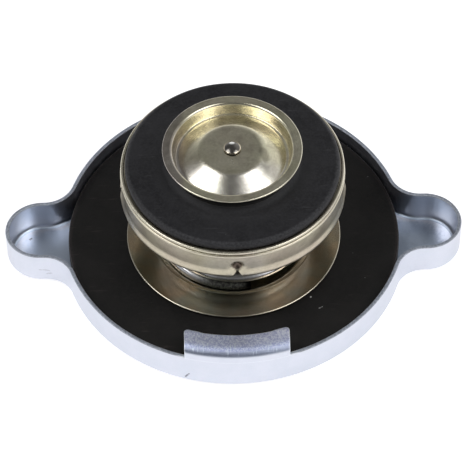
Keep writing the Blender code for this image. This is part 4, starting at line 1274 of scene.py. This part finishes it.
turned("dressed_guide", [
    (RIVET_HOLE_R, GUIDE_LOW, 0), (GUIDE_R, GUIDE_LOW, 1.2),
    (GUIDE_R, GUIDE_HIGH - GUIDE_FLANGE_T, 0.1),
    (GUIDE_R + GUIDE_FLANGE_REACH, GUIDE_HIGH - GUIDE_FLANGE_T, 0.12),
    (GUIDE_R + GUIDE_FLANGE_REACH, GUIDE_HIGH, 0.15), (GUIDE_R - GUIDE_T, GUIDE_HIGH, 0.7),
    (GUIDE_R - GUIDE_T, GUIDE_LOW + GUIDE_T, 0.6), (RIVET_HOLE_R, GUIDE_LOW + GUIDE_T, 0)],
    SHADED_GUIDE, "gasket_stack", ["valve_guide"])

build_coil("dressed_pressure_spring", SPRING_R, SPRING_WIRE, SPRING_LOW, SPRING_HIGH, CLOSED_RISE,
           SPRING_ACTIVE_TURNS, SPRING_START, per_turn=96, sides=32, body="gasket_stack",
           node="pressure_spring", ground=SPRING_GROUND)

build_cup()

turned("dressed_carrier", [
    (STEM_R + STEM_CLEARANCE, CARRIER_LOW, 0), (DISH_R + CARRIER_T, CARRIER_LOW, 0.3),
    (DISH_R + CARRIER_T, CARRIER_LOW + CARRIER_STEP, 0.05),
    (CARRIER_R, CARRIER_LOW + CARRIER_STEP, 0.4), (CARRIER_R, CARRIER_HIGH, CARRIER_LIP_R),
    (CARRIER_R - CARRIER_T, CARRIER_HIGH, CARRIER_LIP_R),
    (CARRIER_R - CARRIER_T, CARRIER_LOW + CARRIER_STEP + CARRIER_T, 0.1),
    (DISH_R, CARRIER_LOW + CARRIER_STEP + CARRIER_T, 0.2), (DISH_R, CARRIER_LOW + CARRIER_T, 0.1),
    (STEM_R + STEM_CLEARANCE, CARRIER_LOW + CARRIER_T, 0)],
    CHAMPAGNE, "pressure_valve", ["seal_carrier"],
    cut=bars(carrier_vents()))

turned("dressed_seal", [
    (SEAL_BORE_R, SEAL_LOW, 0.1), (SEAL_FOOT_R, SEAL_LOW, 0.2),
    (SEAL_FOOT_R, SEAL_LOW + SEAL_FOOT_H, 0), (SEAL_R, SEAL_LOW + SEAL_FOOT_H, 0.1),
    (SEAL_R, SEAL_TOP - SEAL_EDGE_R, 0), *seal_shoulder(),
    (SEAL_SEAT_R + SEAL_SEAT_RUN, SEAL_TOP, 2.0), (SEAL_SEAT_R, SEAL_HIGH, 0.25),
    (SEAL_BORE_R, SEAL_HIGH, 0.3)],
    SEAL_RUBBER, "pressure_valve", ["pressure_seal"])

turned("dressed_vacuum_plate", plate_section(), OLIVE, "vacuum_valve",
       ["vacuum_plate"])

turned("dressed_stem", [
    (0.0, STEM_LOW, 0), (STEM_FOOT_R - 0.25, STEM_LOW + 0.25, 0.4),
    (STEM_FOOT_R, STEM_LOW + STEM_FOOT_H, 0), (STEM_NECK_R, STEM_LOW + STEM_FOOT_H, 0),
    (STEM_NECK_R, STEM_LOW + 2.0, 0), (STEM_R, STEM_LOW + 2.3, 0),
    (STEM_R, STEM_SHOULDER_HIGH - STEM_SHOULDER_H, 0),
    (STEM_SHOULDER_R, STEM_SHOULDER_HIGH - STEM_SHOULDER_H, 0.1),
    (STEM_SHOULDER_R, STEM_SHOULDER_HIGH, 0), (STEM_NECK_R, STEM_SHOULDER_HIGH, 0),
    (STEM_NECK_R, STEM_HIGH - 0.62, 0), (STEM_HEAD_R, STEM_HIGH - 0.6, 0.04), *stem_dome()],
    PIN, "vacuum_valve", ["vacuum_stem"], closed=False, steps=64)

build_coil("dressed_vacuum_spring", SMALL_SPRING_R, SMALL_WIRE, SMALL_SPRING_LOW, SMALL_SPRING_HIGH,
           SMALL_CLOSED_RISE, SMALL_ACTIVE_TURNS, start=0.0, per_turn=48, sides=12,
           body="vacuum_valve", node="vacuum_spring")

for node, finish in (("rivet_washer", BARE_STEEL), ("vacuum_spring_washer", CHAMPAGNE)):
    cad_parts[node].data.materials.clear()
    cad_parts[node].data.materials.append(finish)

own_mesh(bpy.data.objects["dressed_pressure_spring"])
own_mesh(bpy.data.objects["dressed_vacuum_spring"])


# Floor, light and camera
FLOOR_R = 1.2
FLOOR_COLOUR = (0.62, 0.62, 0.63, 1)
FLOOR_GLOW = 0.66                 # brings the floor to white for the camera and in metal
SKY_LEVELS = ((0.0, 1.0), (0.14, 0.95), (0.40, 0.36), (0.62, 0.24), (0.84, 0.21), (1.0, 0.19))
BACK_GLOW = (0.658, 0.63, 0.411)  # towards a brighter patch behind and to the right
WINDOW = (0.66, -0.66, 0.34)      # towards a small one in front and to the right


def build_floor():
    """A matt white disc that stays white to the eye and to glossy metal, and takes shadow."""
    turn = 2 * math.pi * np.arange(128) / 128
    mesh = bpy.data.meshes.new("floor")
    rim = np.stack([FLOOR_R * np.cos(turn), FLOOR_R * np.sin(turn), 0 * turn], axis=-1)
    mesh.from_pydata(rim.tolist(), [], [list(range(128))])
    made = bpy.data.materials.new("white_floor")
    made.use_nodes = True
    tree = made.node_tree
    shader = tree.nodes["Principled BSDF"]
    shader.inputs["Base Color"].default_value = FLOOR_COLOUR
    shader.inputs["Roughness"].default_value = 0.9
    shader.inputs["Specular IOR Level"].default_value = 0.0
    shader.inputs["Emission Color"].default_value = (1, 1, 1, 1)
    path = add_node(tree, "LightPath").outputs
    seen = calc(tree, "MAXIMUM", path["Is Camera Ray"], path["Is Glossy Ray"])
    tree.links.new(times(tree, seen, FLOOR_GLOW), shader.inputs["Emission Strength"])
    mesh.materials.append(made)
    floor = bpy.data.objects.new("floor", mesh)
    bpy.context.scene.collection.objects.link(floor)


def patch_of_sky(tree, place, towards, low, high):
    """Mask of a round patch: the cosine from its middle, eased from low to high."""
    cosine = vector_calc(tree, "DOT_PRODUCT", place, towards, output="Value")
    return ease(tree, cosine, low, high)


def build_world():
    """White at the horizon and grey above it, with two brighter patches; white to the camera.

    In front, where the photographer stands, it is dark from just above the table up, and far
    to the left it is a little darker.
    """
    world = bpy.data.worlds.new("studio")
    bpy.context.scene.world = world
    world.use_nodes = True
    tree = world.node_tree
    tree.nodes.clear()
    place = add_node(tree, "TexCoord").outputs["Generated"]
    sky = add_node(tree, "SeparateXYZ", Vector=place).outputs
    ramp = add_node(tree, "ValToRGB", Fac=sky["Z"])
    ramp.color_ramp.interpolation = "EASE"
    stops = ramp.color_ramp.elements
    for k, (position, level) in enumerate(SKY_LEVELS):
        stop = stops[k] if k < 2 else stops.new(position)
        stop.position = position
        stop.color = (level, level, level, 1)
    aside = calc(tree, "ARCTAN2", sky["X"], times(tree, sky["Y"], -1.0))
    aside = calc(tree, "ABSOLUTE", aside)
    ahead = ease(tree, aside, math.radians(52.0), math.radians(30.0))
    front = times(tree, ahead, ease(tree, sky["Z"], 0.03, 0.16))
    left = ease(tree, sky["X"], -0.7, -0.2)
    level = times(tree, ramp.outputs["Color"], spread(tree, front, 1.0, 0.42))
    level = times(tree, level, spread(tree, left, 0.78, 1.0))
    glow = times(tree, patch_of_sky(tree, place, BACK_GLOW, 0.76, 0.95), 0.38)
    window = times(tree, patch_of_sky(tree, place, WINDOW, 0.92, 0.99), 0.4)
    level = calc(tree, "ADD", calc(tree, "ADD", level, glow), window)
    seen = add_node(tree, "LightPath").outputs["Is Camera Ray"]
    colour = mix_colour(tree, seen, level, (1.0, 1.0, 1.0))
    shade = add_node(tree, "Background", Color=colour, Strength=1.0)
    out = tree.nodes.new("ShaderNodeOutputWorld")
    tree.links.new(shade.outputs["Background"], out.inputs["Surface"])


def build_lamp(name, azimuth, level, elevation=56.0, distance=2.0, width=1.2, height=1.0):
    """A soft box that faces the cap; level is the brightness of its face, where 1 is white."""
    light = bpy.data.lights.new(name, "AREA")
    light.shape = "RECTANGLE"
    light.size = width
    light.size_y = height
    light.energy = level * math.pi * width * height
    a, e = math.radians(azimuth), math.radians(elevation)
    place = Vector((math.sin(a) * math.cos(e), -math.cos(a) * math.cos(e), math.sin(e))) * distance
    aim = place.to_track_quat("Z", "Y").to_matrix().to_4x4()
    lamp = bpy.data.objects.new(name, light)
    lamp.matrix_world = Matrix.Translation(place) @ aim
    lamp.visible_camera = False
    bpy.context.scene.collection.objects.link(lamp)


def build_camera():
    """The photograph's view, fitted to the cap's outline: distance in metres, angles in degrees."""
    distance, focal_px, photo_px, sensor = 0.555, 2668.7, 465, 36.0
    elevation, swing, roll = (math.radians(v) for v in (50.75, -0.55, -0.98))
    target = Vector((-0.235, 0.0, 5.382)) * MM
    back = Vector((0, -math.cos(elevation), math.sin(elevation)))
    right = Vector((1, 0, 0))
    up = back.cross(right)
    swing_turn = Matrix.Rotation(swing, 3, "Z")
    tilted_right = swing_turn @ (right * math.cos(roll) + up * math.sin(roll))
    tilted_up = swing_turn @ (up * math.cos(roll) - right * math.sin(roll))
    back = swing_turn @ back
    camera = bpy.data.cameras.new("photo_view")
    camera.sensor_fit = "HORIZONTAL"
    camera.sensor_width = sensor
    camera.lens = focal_px * sensor / photo_px
    seen = bpy.data.objects.new("photo_view", camera)
    turned_axes = Matrix((tilted_right, tilted_up, back)).transposed()
    stand = swing_turn @ target + back * distance
    seen.matrix_world = Matrix.Translation(stand) @ turned_axes.to_4x4()
    bpy.context.scene.collection.objects.link(seen)
    bpy.context.scene.camera = seen


build_floor()
build_world()
build_lamp("left_soft_box", azimuth=-82.0, level=3.9)
build_lamp("right_soft_box", azimuth=66.0, level=3.4)
build_camera()
bpy.context.scene.view_settings.view_transform = "Standard"
